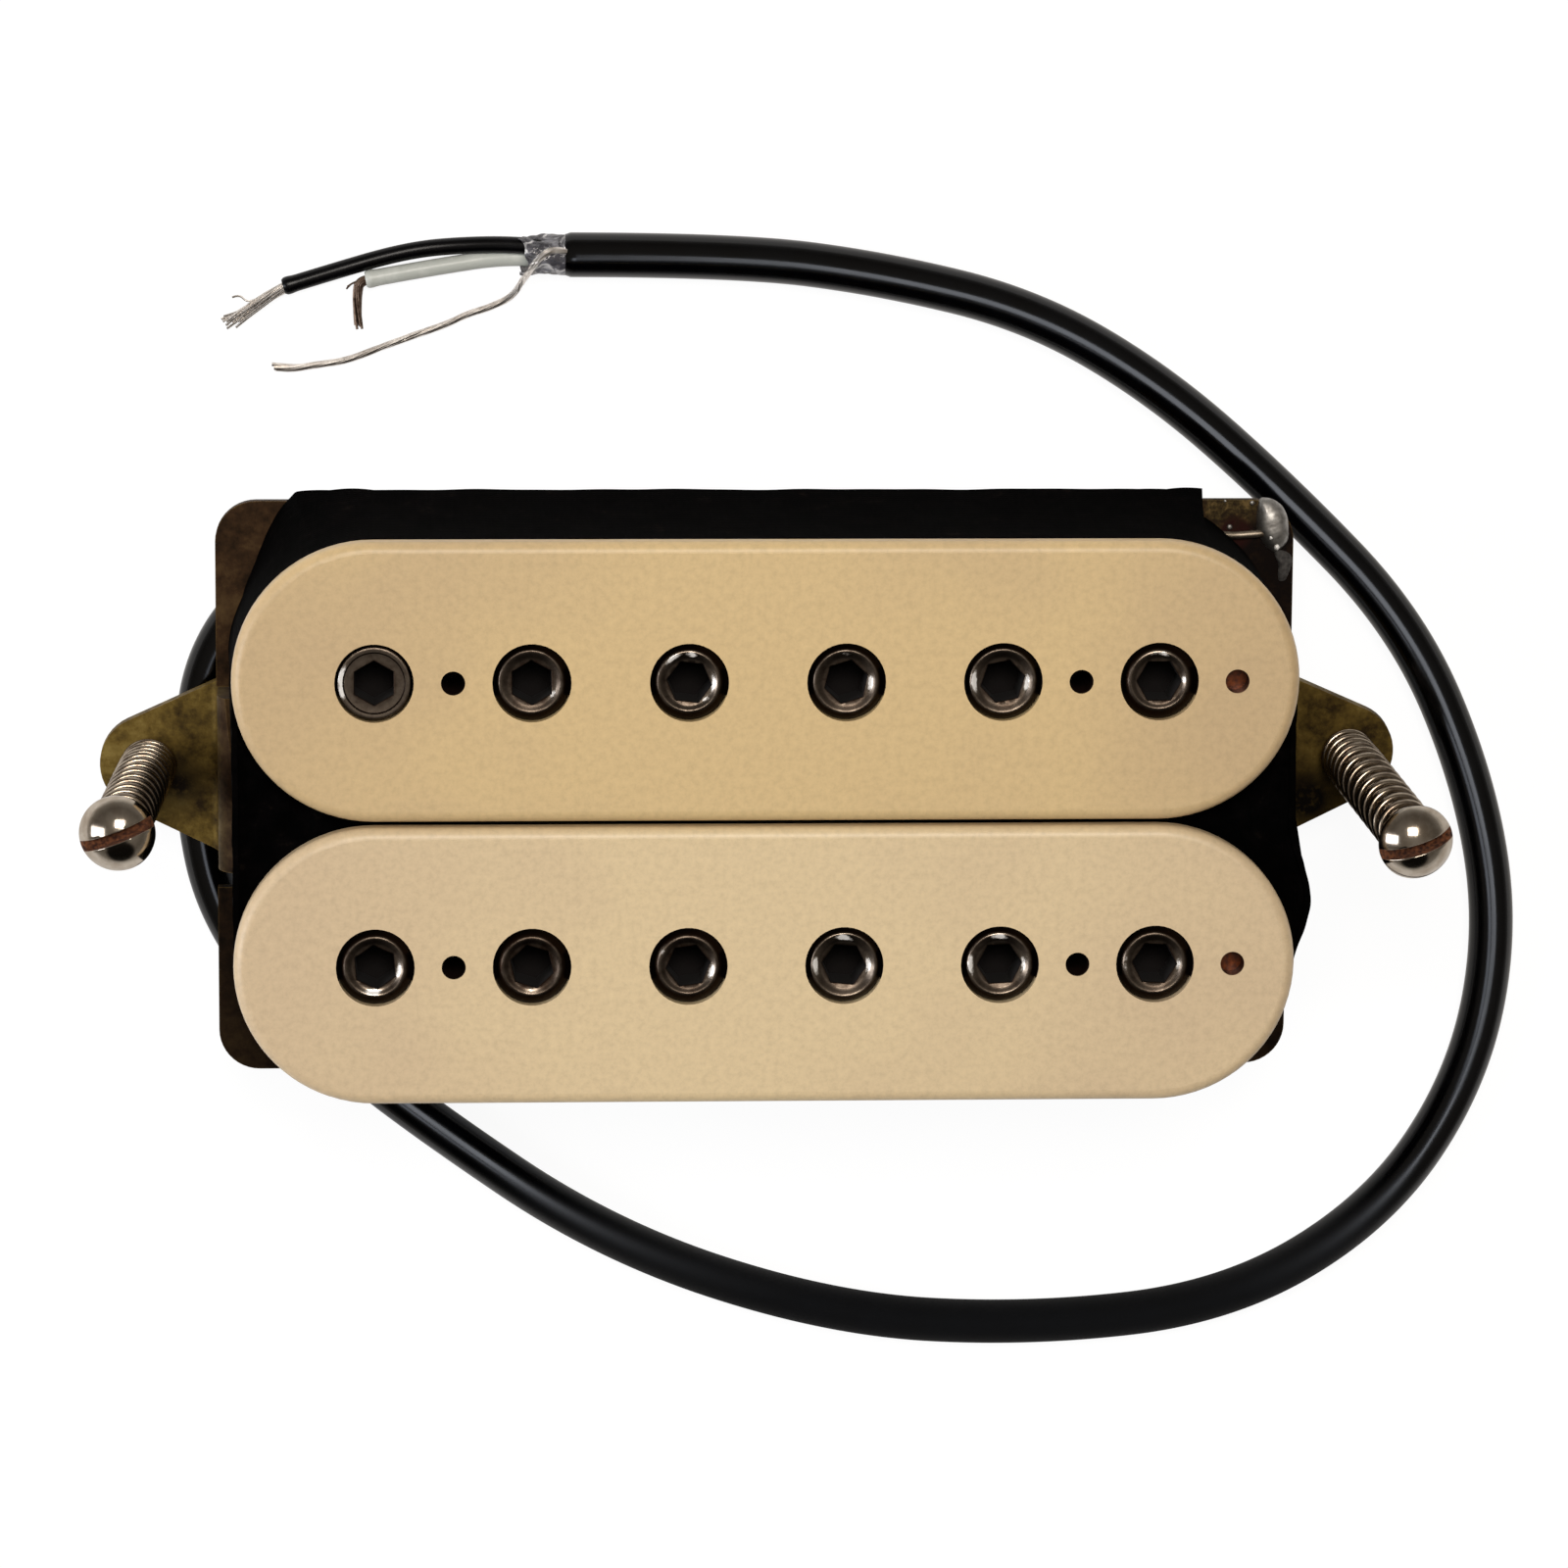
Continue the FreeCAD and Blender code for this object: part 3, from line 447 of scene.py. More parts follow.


# %% [markdown]
# ## Blackened steel
# The poles are set screws with a black oxide skin, oiled. The skin is thin, so the ring round each socket,
# where a key has turned it, is rubbed to grey steel. A few short arcs on the ring are painted white as
# highlights, and painted shade with oily dirt darkens the socket and the chamfer. A wear value on the mesh
# says where.

# %% Pole steel
def pole_steel():
    """Black oxide over steel. Wear above 0 rubs it to grey metal and, higher, paints it white as a highlight;
    below 0 it is oily dirt with painted shade.
    """
    made, tree, place = new_finish("black oxide steel")
    wear = add(tree, "Attribute", {"attribute_name": "wear"})
    rub = noise(tree, place, 0.6, Detail=4.0, Roughness=0.65)
    amount = maths(tree, "MULTIPLY", wear.outputs["Fac"], rub)
    share = remap(tree, amount, 0.1, 0.6, 0.0, 1.0)
    # Below 0: oily dirt with painted shade, near black, down the socket and on the chamfer
    dirt_and_shade = remap(tree, wear.outputs["Fac"], -1.0, 0.0, 1.0, 0.0)
    colour = mix(tree, share, linear("#261b14"), linear("#7a6f63"))
    # Strong wear, which comes mostly from the painted arcs, turns it white: painted highlights
    bare_metal_and_highlight = remap(tree, amount, 0.6, 1.0, 0.0, 1.0)
    colour = mix(tree, bare_metal_and_highlight, colour, linear("#f2f0ec"))
    colour = mix(tree, dirt_and_shade, colour, linear("#0a0504"))
    dull = maths(tree, "MAXIMUM", dirt_and_shade, bare_metal_and_highlight)
    metal = remap(tree, dull, 0.0, 1.0, 1.0, 0.25)
    rough = remap(tree, share, 0.0, 1.0, 0.4, 0.24)
    rough = maths(tree, "MAXIMUM", rough, dirt_and_shade)
    bump = relief(tree, rub, 0.2, 0.02 * mm)
    close_finish(tree, add(tree, "BsdfPrincipled", Base_Color=colour, Metallic=metal,
                           Roughness=rough, Normal=bump))
    return made


# %% [markdown]
# ## Bright metals
# The height screws and springs are nickel plate, warm and almost mirror-bright with a faint haze. Solder and
# tinned wire are greyer and duller. One recipe serves them all, with its own colour, roughness and haze. The
# mesh's wear value adds grime where it is below 0, as in a screw's slot, and a painted white glint where it is
# above. Above a given height the grime colours paint shade instead, as on the brass screws deep in holes.

# %% Plated and tinned metals
def bright_metal(name, bright, dull, roughness, haze, cell, painted_shade_above=1000.0, grime_and_shade_colours=("#2f150a", "#7a4a2c")):
    """A polished metal that drifts from bright to dull by a noise.

    It is grimy where the mesh's wear is below 0, has painted shade over a height in millimetres, and a painted
    white glint where the wear is above 0.
    """
    made, tree, place = new_finish(name)
    drift = noise(tree, place, cell, Detail=4.0, Roughness=0.6)
    colour = graded(tree, drift, [(0.35, dull), (0.6, bright)])
    wear = add(tree, "Attribute", {"attribute_name": "wear"})
    grime_and_shade = remap(tree, wear.outputs["Fac"], -1.0, 0.0, 1.0, 0.0)
    high = add(tree, "SeparateXYZ", Vector=place)
    # Above a height, as on the brass screws deep in the bobbins' holes, the grime colours paint shade
    over = maths(tree, "GREATER_THAN", high.outputs["Z"], painted_shade_above * mm)
    grime_and_shade = maths(tree, "MAXIMUM", grime_and_shade, over)
    fine = noise(tree, place, 0.25, Detail=3.0)
    brown = graded(tree, fine, [(0.35, grime_and_shade_colours[0]), (0.7, grime_and_shade_colours[1])])
    final = mix(tree, grime_and_shade, colour, brown)
    # A white glint painted where the wear is above 0
    painted_glint = remap(tree, wear.outputs["Fac"], 0.0, 1.0, 0.0, 1.0)
    final = mix(tree, painted_glint, final, linear("#faf9f6"))
    matt = maths(tree, "MAXIMUM", grime_and_shade, painted_glint)
    metal = remap(tree, matt, 0.0, 1.0, 1.0, 0.3)
    rough = remap(tree, drift, 0.3, 0.7, roughness + haze, roughness)
    rough = maths(tree, "MAXIMUM", rough, grime_and_shade)
    bump = relief(tree, drift, haze, 0.03 * mm)
    close_finish(tree, add(tree, "BsdfPrincipled", Base_Color=final, Metallic=metal,
                           Roughness=rough, Normal=bump))
    return made


# %% [markdown]
# ## Plastics on the wires
# The lead's jacket is soft black PVC with a smooth, oily shine. The cores are harder: black, and a white that
# lets a little light in. Each has fine rub marks, which show only as a change of shine.

# %% Wire plastics
def wire_plastic(name, dark, pale, roughness, coat, shine=0.35, matt_front=False):
    """A smooth extruded plastic with cloudy rub marks in its colour and shine, matt at the front if asked."""
    made, tree, place = new_finish(name)
    rub = noise(tree, place, 3, Detail=5.0, Roughness=0.65)
    colour = graded(tree, rub, [(0.45, dark), (0.75, pale)])
    rough = remap(tree, rub, 0.3, 0.7, roughness, roughness + 0.06)
    if matt_front:
        parts = add(tree, "SeparateXYZ", Vector=place)
        dusty = remap(tree, parts.outputs["Y"], -36 * mm, -24 * mm, 0.85, 0.0)
        rough = maths(tree, "MAXIMUM", rough, dusty)
    close_finish(tree, add(tree, "BsdfPrincipled", Base_Color=colour, Roughness=rough,
                           IOR=1.5, Specular_IOR_Level=shine, Coat_Weight=coat, Coat_Roughness=0.15))
    return made


# %% [markdown]
# ## Clear film
# A crumpled film is part clear and part shine. One noise says how much of each, and a second, larger one
# paints pale highlights on the folds.

# %% Film finish
def clear_film():
    """Thin clear polyester: mostly see-through, with the shine of crumpled film and painted highlights on its
    creases.
    """
    made, tree, place = new_finish("clear polyester film")
    crease = noise(tree, place, 0.7, Detail=4.0, Roughness=0.6)
    bump = relief(tree, crease, 1.0, 0.15 * mm)
    see = add(tree, "BsdfTransparent", Color=linear("#b4b0ae"))
    # Pale streaks painted as highlights on the creases
    painted_streak_noise = noise(tree, place, 1.1, Detail=2.0, Distortion=1.5)
    pale = graded(tree, painted_streak_noise, [(0.5, "#5f5f66"), (0.58, "#96979d"), (0.64, "#f4f4f6")])
    shine = add(tree, "BsdfPrincipled", Base_Color=pale, Roughness=0.06, IOR=1.9,
                Normal=bump)
    share = remap(tree, crease, 0.4, 0.7, 0.35, 0.85)
    close_finish(tree, add(tree, "MixShader", Fac=share, in_1=see.outputs[0], in_2=shine.outputs[0]))
    return made


# %% [markdown]
# ## Hidden pieces, and a finish for every node
# The pieces inside need only a colour with a little drift. A dictionary then gives each of the record's
# material names its finish, and every node its material.

# %% All finishes
def plain_finish(name, dark, pale, roughness, metallic, cell):
    """A finish for hidden pieces: one noise between two colours."""
    made, tree, place = new_finish(name)
    drift = noise(tree, place, cell, Detail=4.0)
    colour = graded(tree, drift, [(0.35, dark), (0.65, pale)])
    bump = relief(tree, drift, 0.2, 0.03 * mm)
    close_finish(tree, add(tree, "BsdfPrincipled", Base_Color=colour, Roughness=roughness,
                           Metallic=metallic, Normal=bump))
    return made


finishes = {
    "cream_plastic": bobbin_plastic(),
    "tarnished_brass": plate_brass(),
    "black_tape": cloth_tape(),
    "blackened_steel": pole_steel(),
    "nickel_plate": bright_metal("polished nickel plate", "#bab0a2", "#9b8e7e", 0.1, 0.07, 1.2),
    "spring_steel": bright_metal("nickel-plated spring wire", "#a89b8a", "#6f6153", 0.2, 0.08, 0.8),
    "tinned_copper": bright_metal("tinned copper wire", "#efeae4", "#b9b2ab", 0.32, 0.06, 1.2),
    "tarnished_copper": bright_metal("oxidised copper wire", "#7d6a5c", "#4a3a30", 0.4, 0.15, 0.4),
    "solder": bright_metal("cold solder", "#a6a4a0", "#7d7a76", 0.42, 0.08, 0.45,
                           grime_and_shade_colours=("#1c1918", "#4b4846")),
    # Above 6 mm the brass screws lie deep in the bobbins' holes, and there they get painted shade
    "bright_brass": bright_metal("turned brass", "#b18f4e", "#6f5628", 0.3, 0.15, 0.8,
                                 painted_shade_above=6.0),
    "black_jacket": wire_plastic("black PVC jacket", "#010102", "#040508", 0.14, 0.0, matt_front=True),
    "black_insulation": wire_plastic("black wire insulation", "#020203", "#060508", 0.24, 0.0, shine=0.2),
    "white_insulation": wire_plastic("white wire insulation", "#b4b8b1", "#d6d8d2", 0.35, 0.1),
    "clear_film": clear_film(),
    "ceramic_magnet": plain_finish("hard ferrite", "#1c1d20", "#2c2d30", 0.6, 0.0, 0.6),
    "bar_steel": plain_finish("cold-rolled steel bar", "#5c5a57", "#8a8782", 0.4, 1.0, 0.8),
    "enamelled_copper": plain_finish("enamelled copper winding", "#4a2008", "#7a3a12", 0.3, 0.4, 0.3),
    "black_sleeve": plain_finish("black heat-shrink sleeve", "#080808", "#161515", 0.5, 0.0, 1.0),
}
dulled_wire = bright_metal("dulled tinned wire", "#94897a", "#5a5145", 0.42, 0.1, 1.2)
slots = {s["node"]: s["material_slot"] for s in frame["record"]["subparts"]}
for node, shown in frame["nodes"].items():
    shown.data.materials.clear()
    shown.data.materials.append(dulled_wire if node == "ground_wire" else finishes[slots[node]])
print("finishes:", len(finishes))

# %% [markdown]
# ## The lead
# The lead leaves the plate through a hole near its back left corner, bends under the left foot and comes
# round the front in one loose oval. Its jacket is a mesh tube round the points of a smooth spline. Where the
# jacket was cut and pulled back, its last quarter of a millimetre is rounded off.

# %% Lead jacket
lead_radius = 1.45
lead_length = 229.2
lead_level = floor_level + lead_radius
lead_route = np.array([
    (-25.0, 14.6, 1.3), (-25.0, 14.6, -2.6), (-26.9, 13.9, -6.1), (-30.1, 12.5, lead_level),
    (-33.5, 9.8, lead_level), (-35.6, 5.7, lead_level), (-35.98, 0.9, lead_level), (-35.85, -4.0, lead_level),
    (-34.9, -8.7, lead_level), (-32.4, -13.3, lead_level), (-28.2, -18.0, lead_level),
    (-22.1, -23.2, lead_level), (-9.2, -32.25, lead_level), (5.8, -37.35, lead_level), (18.9, -38.2, lead_level),
    (32.2, -36.75, lead_level), (42.2, -30.65, lead_level), (47.95, -21.75, lead_level),
    (49.75, -11.65, lead_level),
    (48.0, -1.6, lead_level), (43.3, 9.05, lead_level), (34.45, 18.0, lead_level), (26.6, 24.8, lead_level),
    (18.2, 29.65, lead_level), (8.5, 32.0, lead_level), (-1.0, 33.2, lead_level), (-12.0, 33.2, lead_level),
])


def make_lead():
    """A tube of the lead's radius along the spline, rounded over its last quarter of a millimetre."""
    path = resampled(spline_points(lead_route), 640)
    travel = np.linspace(0, 1, len(path)) * lead_length
    left = travel[-1] - travel
    radius = lead_radius - 0.12 * np.clip(1 - left / 0.25, 0, 1) ** 2
    made = piece("lead", [tube(path, radius, 36)], "pickup", finishes["black_jacket"])
    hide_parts("lead_jacket")
    return made, path


lead, lead_path = make_lead()

# %% [markdown]
# ## The stripped end
# Three conductors come out of the jacket: a black and a white core, each with its copper strands bared, and a
# bare drain wire that was twisted together. Strands are what makes cut wire look real. Each is a tube that
# winds round the bundle's line, and where it is loose it also drifts outwards by its own amount.

# %% Strands and cores
def strands(path, count, strand_radius, bundle_radius, turns, fray, seed, sides=8, steps=60, press=None):
    """Twisted strands: strand k lies at bundle_radius from the line, at angle 2 pi (k / count + turns s).

    s runs from 0 to 1. A frayed end adds a drift that grows as s squared, in the strand's own direction, and
    press flattens the bundle against the table by a share that depends on s.
    """
    random = np.random.default_rng(seed)
    line = resampled(path, steps)
    s = np.linspace(0, 1, steps)
    along = unit(np.gradient(line, axis=0))
    side = unit(np.cross(along, [0, 0, 1.0]))
    up = np.cross(side, along)
    flat = np.zeros(steps) if press is None else press(s)
    made = []
    for k in range(count):
        angle = 2 * np.pi * (k / count + turns * s) if k else 0 * s
        out = bundle_radius * (k > 0) * (1 - 0.3 * s * (fray > 0))
        drift = random.normal(0, fray, 2) * np.array([1.0, 0.3])
        cut = int(steps * (1 - random.uniform(0, 0.22 if fray else 0.02)))
        offset = (side * ((1 + flat) * out * np.cos(angle) + drift[0] * s ** 2)[:, None]
                  + up * ((1 - 0.6 * flat) * out * np.sin(angle) + drift[1] * s ** 2)[:, None])
        made.append(tube((line + offset)[:cut], strand_radius, sides))
    return made


def core(name, route, radius, slot):
    """A core's insulation along its route, with a small rolled edge where it was cut."""
    path = resampled(spline_points(np.array(route)), 120)
    left = np.linspace(np.linalg.norm(np.diff(path, axis=0), axis=1).sum(), 0, len(path))
    swell = 1 + 0.08 * np.exp(-((left - 0.35) / 0.3) ** 2) - 0.15 * np.clip(1 - left / 0.12, 0, 1)
    made = piece(name, [tube(path, radius * swell, 24)], "pickup", finishes[slot])
    return made


black_core_route = [(-12.0, 33.7, -7.6), (-13.6, 33.75, -7.7), (-16.2, 33.85, -8.3), (-18.9, 33.72, -8.75),
                    (-21.2, 33.5, -8.93), (-23.6, 33.0, -8.93), (-26.6, 32.12, -8.93), (-30.15, 31.03, -8.93)]
white_core_route = [(-12.0, 32.9, -8.3), (-14.7, 33.0, -8.6), (-16.95, 32.85, -8.86), (-18.7, 32.58, -8.9),
                    (-21.6, 32.1, -8.9), (-24.85, 31.5, -8.9)]
black_core = core("core_black", black_core_route, 0.55, "black_insulation")
white_core = core("core_white", white_core_route, 0.55, "white_insulation")
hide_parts("lead_black_core")
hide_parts("lead_white_core")

tinned_line = spline_points(np.array([(-29.7, 31.15, -8.93), (-31.6, 30.2, -9.0), (-34.1, 28.6, -9.15)]))
curl_line = spline_points(np.array([(-29.9, 31.1, -8.95), (-31.7, 30.3, -9.0), (-32.5, 30.0, -9.0),
                                    (-33.0, 30.55, -9.0), (-33.5, 30.3, -9.05)]))
brown_line = spline_points(np.array([(-24.6, 31.5, -8.95), (-25.25, 31.4, -8.98), (-25.38, 30.6, -9.05),
                                     (-25.4, 29.4, -9.12), (-25.3, 28.15, -9.15)]))
hair_line = spline_points(np.array([(-24.8, 31.5, -8.95), (-25.5, 31.4, -9.0), (-26.0, 31.1, -9.1),
                                    (-26.3, 30.75, -9.15)]))
drain_line = spline_points(np.array([
    (-11.9, 33.5, -6.95), (-12.6, 33.7, -6.68), (-13.4, 33.4, -6.6), (-14.1, 32.6, -6.95), (-14.7, 31.5, -8.5),
    (-15.4, 30.35, -9.17), (-17.0, 29.62, -9.17), (-18.3, 29.25, -9.17), (-19.9, 28.48, -9.17),
    (-21.9, 27.82, -9.17), (-24.6, 26.8, -9.17), (-26.2, 26.2, -9.17), (-28.2, 25.93, -9.17),
    (-29.8, 25.68, -9.17), (-31.0, 25.85, -9.17)]))
black_strands = piece("strands_tinned", strands(tinned_line, 17, 0.085, 0.3, 0.4, 0.4, 5)
                      + strands(curl_line, 1, 0.07, 0.0, 0.0, 0.0, 6), "pickup", finishes["tinned_copper"])
white_strands = piece("strands_brown", strands(brown_line, 12, 0.085, 0.26, 0.3, 0.04, 8)
                      + strands(hair_line, 2, 0.06, 0.08, 0.1, 0.12, 9), "pickup", finishes["tarnished_copper"])
drain = piece("drain_wire", strands(drain_line, 7, 0.13, 0.1, 2.2, 0.0, 3, steps=420,
                                    press=lambda s: 0.5 * np.clip((s - 0.86) / 0.1, 0, 1)), "pickup",
              finishes["tinned_copper"])
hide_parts("lead_black_strands")
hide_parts("lead_white_strands")
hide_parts("lead_drain_wire")


# %% [markdown]
# ## The film
# The film's wall is an outer and an inner sleeve joined in one closed grid.

# %% Film sleeve
def make_film():
    """A crumpled sleeve: radius 1.3 round the cores, pinched and creased by a few waves round and along it."""
    along = np.linspace(0, 1, 40)
    angle = np.linspace(0, 2 * np.pi, 64, endpoint=False)
    s, a = np.meshgrid(along, angle, indexing="ij")
    crease = 0.07 * np.sin(3 * a + 5 * s) + 0.05 * np.sin(7 * a - 9 * s) + 0.03 * np.sin(13 * a + 17 * s)
    radius = 1.3 - 0.12 * s ** 2 + crease * (0.3 + s)
    end = 2.7 + 0.25 * np.sin(2 * a + 1) + 0.12 * np.sin(5 * a)
    cut_x, cut_y, _ = lead_route[-1]
    outer = np.stack([cut_x - s * end, cut_y + radius * np.cos(a), lead_level + radius * np.sin(a)], axis=-1)
    middle = np.array([0.0, cut_y, lead_level])
    inner = outer.copy()
    inner[..., 1:] = middle[1:] + (outer[..., 1:] - middle[1:]) * 0.95
    wall = np.concatenate([outer, inner[::-1]])
    made = piece("film", [surface(wall, close_rows=True)], "pickup", finishes["clear_film"], 70)
    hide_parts("lead_wrap")
    return made


film = make_film()

# %% [markdown]
# ## The poles
# Each pole is a socket set screw. Read from the middle outwards, its surface is a drilled cone, six flat
# walls, a small lead-in for the key, a dished ring, a chamfer, and then the thread all the way down. All of
# that is one grid: the radius of a hexagon is its flat's distance over the cosine of the angle from the
# flat's middle, and a thread's radius depends on height over pitch minus angle over a full turn.

# %% Threads
def thread(height, angle, radius, pitch, depth):
    """A right-hand thread's radius: flat crests and roots with straight flanks, from a clipped triangle wave."""
    phase = np.mod(height / pitch - angle / (2 * np.pi), 1.0)
    wave = np.abs(2 * phase - 1)
    return radius - depth * np.clip((wave - 0.16) / 0.6, 0, 1)


# The ring from the socket outwards: a share of its width, its depth as a share of the dish, and its wear, which
# below 0 is painted shade and dirt
narrow_ring = ((0.15, 0.97, 0.8), (0.35, 0.8, 0.7), (0.55, 0.52, 0.75), (0.75, 0.22, 0.9), (0.88, 0.06, 1.0),
               (1.0, 0.0, 1.0))
wide_ring = ((0.2, 1.0, 1.0), (0.4, 0.96, 1.0), (0.58, 0.9, 0.9), (0.64, 0.5, -0.2), (0.7, 0.1, 1.0),
             (0.84, 0.05, 1.1), (1.0, 0.0, 1.1))
# The edge outside the ring: a share of its width, its drop in millimetres and its wear, which below 0 is
# painted shade and dirt
outer_edge = ((0.12, 0.012, 0.9), (0.24, 0.05, 0.5), (0.42, 0.14, 0.1), (0.62, 0.26, 0.0), (0.84, 0.42, -0.2),
              (0.97, 0.56, -0.3))


def make_pole(name, x, y, socket_turn, dish, rub, rim, shift, highlight_arcs):
    """One pole as a grid from the socket's centre, up its walls, over its ring and down its thread.

    rim is the radius of the ring's highest circle. The end was ground a little off its axis, by shift. Each
    arc is a painted highlight, given as an angle, a half width, both in degrees, and a strength.
    """
    top = bobbin_top - 0.1
    flat = 1.2
    chamfer = 2.4
    centre = 1.36
    length = 17.4625
    angle = math.radians(socket_turn) + np.linspace(0, 2 * np.pi, 96, endpoint=False)
    hexagon = flat / np.cos(np.mod(angle - math.radians(socket_turn), np.pi / 3) - np.pi / 6)
    ones = np.ones_like(angle)
    # Wear -1 darkens the socket's cone and walls with painted shade and dirt
    rows = [(0.0 * ones, -3.75, -1.0), (0.6 * ones, -3.4, -1.0), (hexagon, -3.2, -1.0), (hexagon, -1.5, -1.0),
            (hexagon, -0.6, -1.0), (hexagon, -dish - 0.1, -0.9), (hexagon + 0.02, -dish - 0.02, -0.3),
            (hexagon + 0.05, -dish, 0.5 * rub)]
    wide = rim > 2.1
    for share, fall, wear in wide_ring if wide else narrow_ring:
        reach = np.maximum(centre + (rim - centre) * share, hexagon + 0.06 + 0.02 * share)
        rows.append((reach, -dish * fall, wear * rub if wear > 0 else wear))
    for share, drop, wear in outer_edge:
        rows.append(((rim + (chamfer - rim) * share) * ones, -drop, wear * rub if wear > 0 else wear))
    radii = np.array([r for r, _, _ in rows])
    # Painted highlights: white arcs on the ring, at a radius that changes round it as a lamp's reflection would
    shine = sum(strength * np.exp(-((np.mod(angle - math.radians(middle) + np.pi, 2 * np.pi) - np.pi)
                                    / math.radians(half)) ** 2) for middle, half, strength in highlight_arcs)
    bright = 2.05 if wide else 1.65 - 0.17 * np.cos(angle) + 0.1 * np.sin(angle)
    off = np.interp(radii.mean(axis=1), [1.4, rim, chamfer], [0, 1, 0])[:, None]
    radii = radii + shift * off * np.cos(angle - 2.3)
    heights = np.array([z * ones for _, z, _ in rows])
    wear = np.array([w * ones for _, _, w in rows])
    wear = wear + shine * np.exp(-((radii - bright) / 0.17) ** 2) * (wear > 0)
    down = np.linspace(-0.66, -length + 0.02, 170)[:, None] * ones
    shank = thread(top + down, angle[None, :], pole_radius, 0.794, 0.4)
    shank = np.minimum(shank, pole_radius - 0.9 + (length + down))
    shank = np.minimum(shank, chamfer)
    end = np.array([[0.8], [0.0]]) * ones
    radii = np.concatenate([radii, shank, end])
    heights = np.concatenate([heights, down, -length * np.ones_like(end)])
    wear = np.concatenate([wear, 0.15 + 0 * down, 0 * end])
    grid = np.stack([x + radii * np.cos(angle), y + radii * np.sin(angle), top + heights], axis=-1)
    made = piece(name, [surface(grid)], name.replace("threaded_", "pole_screw_"),
                 finishes["blackened_steel"], 32,
                 wear=wear)
    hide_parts(name.replace("threaded_", "pole_screw_"))


# Each row: the socket's turn, the ring's dish, how far it is rubbed, its rim's radius, its shift and its arcs of
# painted highlight.
pole_looks = {
    "back": [(30, 0.14, 0.75, 2.2, 0.0, [(180, 24, 2.6)]),
             (31, 0.15, 0.6, 1.9, 0.1, [(-25, 16, 1.5)]),
             (53, 0.2, 0.7, 1.84, 0.08, [(125, 18, 1.6), (85, 10, 2.0), (0, 20, 1.8), (-45, 12, 1.5)]),
             (17, 0.18, 0.65, 1.92, 0.04, [(90, 15, 1.2), (0, 20, 2.2)]),
             (12, 0.2, 0.7, 1.96, 0.03, [(180, 20, 2.2), (0, 20, 2.2)]),
             (0, 0.14, 0.65, 1.76, 0.06, [(90, 22, 1.3), (5, 10, 1.6)])],
    "front": [(35, 0.17, 0.6, 1.82, 0.04, [(-8, 22, 2.0), (265, 22, 2.0)]),
              (43, 0.13, 0.45, 1.78, 0.02, [(268, 14, 1.2)]),
              (8, 0.16, 0.55, 1.78, 0.03, [(-15, 22, 1.9), (150, 12, 1.2)]),
              (55, 0.25, 0.75, 1.98, 0.0, [(90, 18, 2.2), (180, 18, 2.0), (0, 18, 2.2)]),
              (3, 0.22, 0.75, 1.9, 0.02, [(90, 16, 2.0), (180, 18, 2.2), (0, 22, 1.3)]),
              (57, 0.16, 0.6, 1.84, 0.03, [(180, 20, 1.3), (0, 20, 1.3)])]}
for row, y in (("back", row_y), ("front", -row_y)):
    for i, looks in enumerate(pole_looks[row]):
        make_pole("threaded_%s_%d" % (row, i + 1), (i - 2.5) * pole_pitch, y, *looks)

# %% [markdown]
# ## The height screws
# A slotted head is awkward on a polar grid, because the slot's walls cut across it. So the head's top is laid
# out in rows along the slot instead: each row is a chord of the circle, and rows crowd together at the slot's
# two edges. Height is the dome's, or the slot's floor where that is lower.

# %% Height screws
def head_top(radius, rim, height, slot_half, slot_floor, edge=0.05):
    """Chords across a dome: x across the slot, y along it, and z the dome's height or the slot's floor."""
    rise = height - rim
    ball = (radius ** 2 + rise ** 2) / (2 * rise)
    across = -radius * np.cos(np.linspace(0, np.pi, 57))
    lines = [slot_half - 0.012, slot_half, slot_half + edge * 0.35, slot_half + edge]
    across = np.unique(np.concatenate([across[np.abs(np.abs(across) - slot_half) > 0.1], lines,
                                       np.negative(lines)]))
    share = np.sin(np.linspace(-np.pi / 2, np.pi / 2, 49))
    x = across[:, None] * np.ones_like(share)
    y = share * np.sqrt(np.maximum(radius ** 2 - across[:, None] ** 2, 0))
    dome = height - ball + np.sqrt(ball ** 2 - x ** 2 - y ** 2)
    gap = np.abs(x) - slot_half
    dome = dome - edge * np.clip(1 - gap / edge, 0, 1) ** 2 * (gap > -0.001)
    z = np.where(gap < -0.001, np.minimum(dome, slot_floor), dome)
    return np.stack([x, y, z], axis=-1)


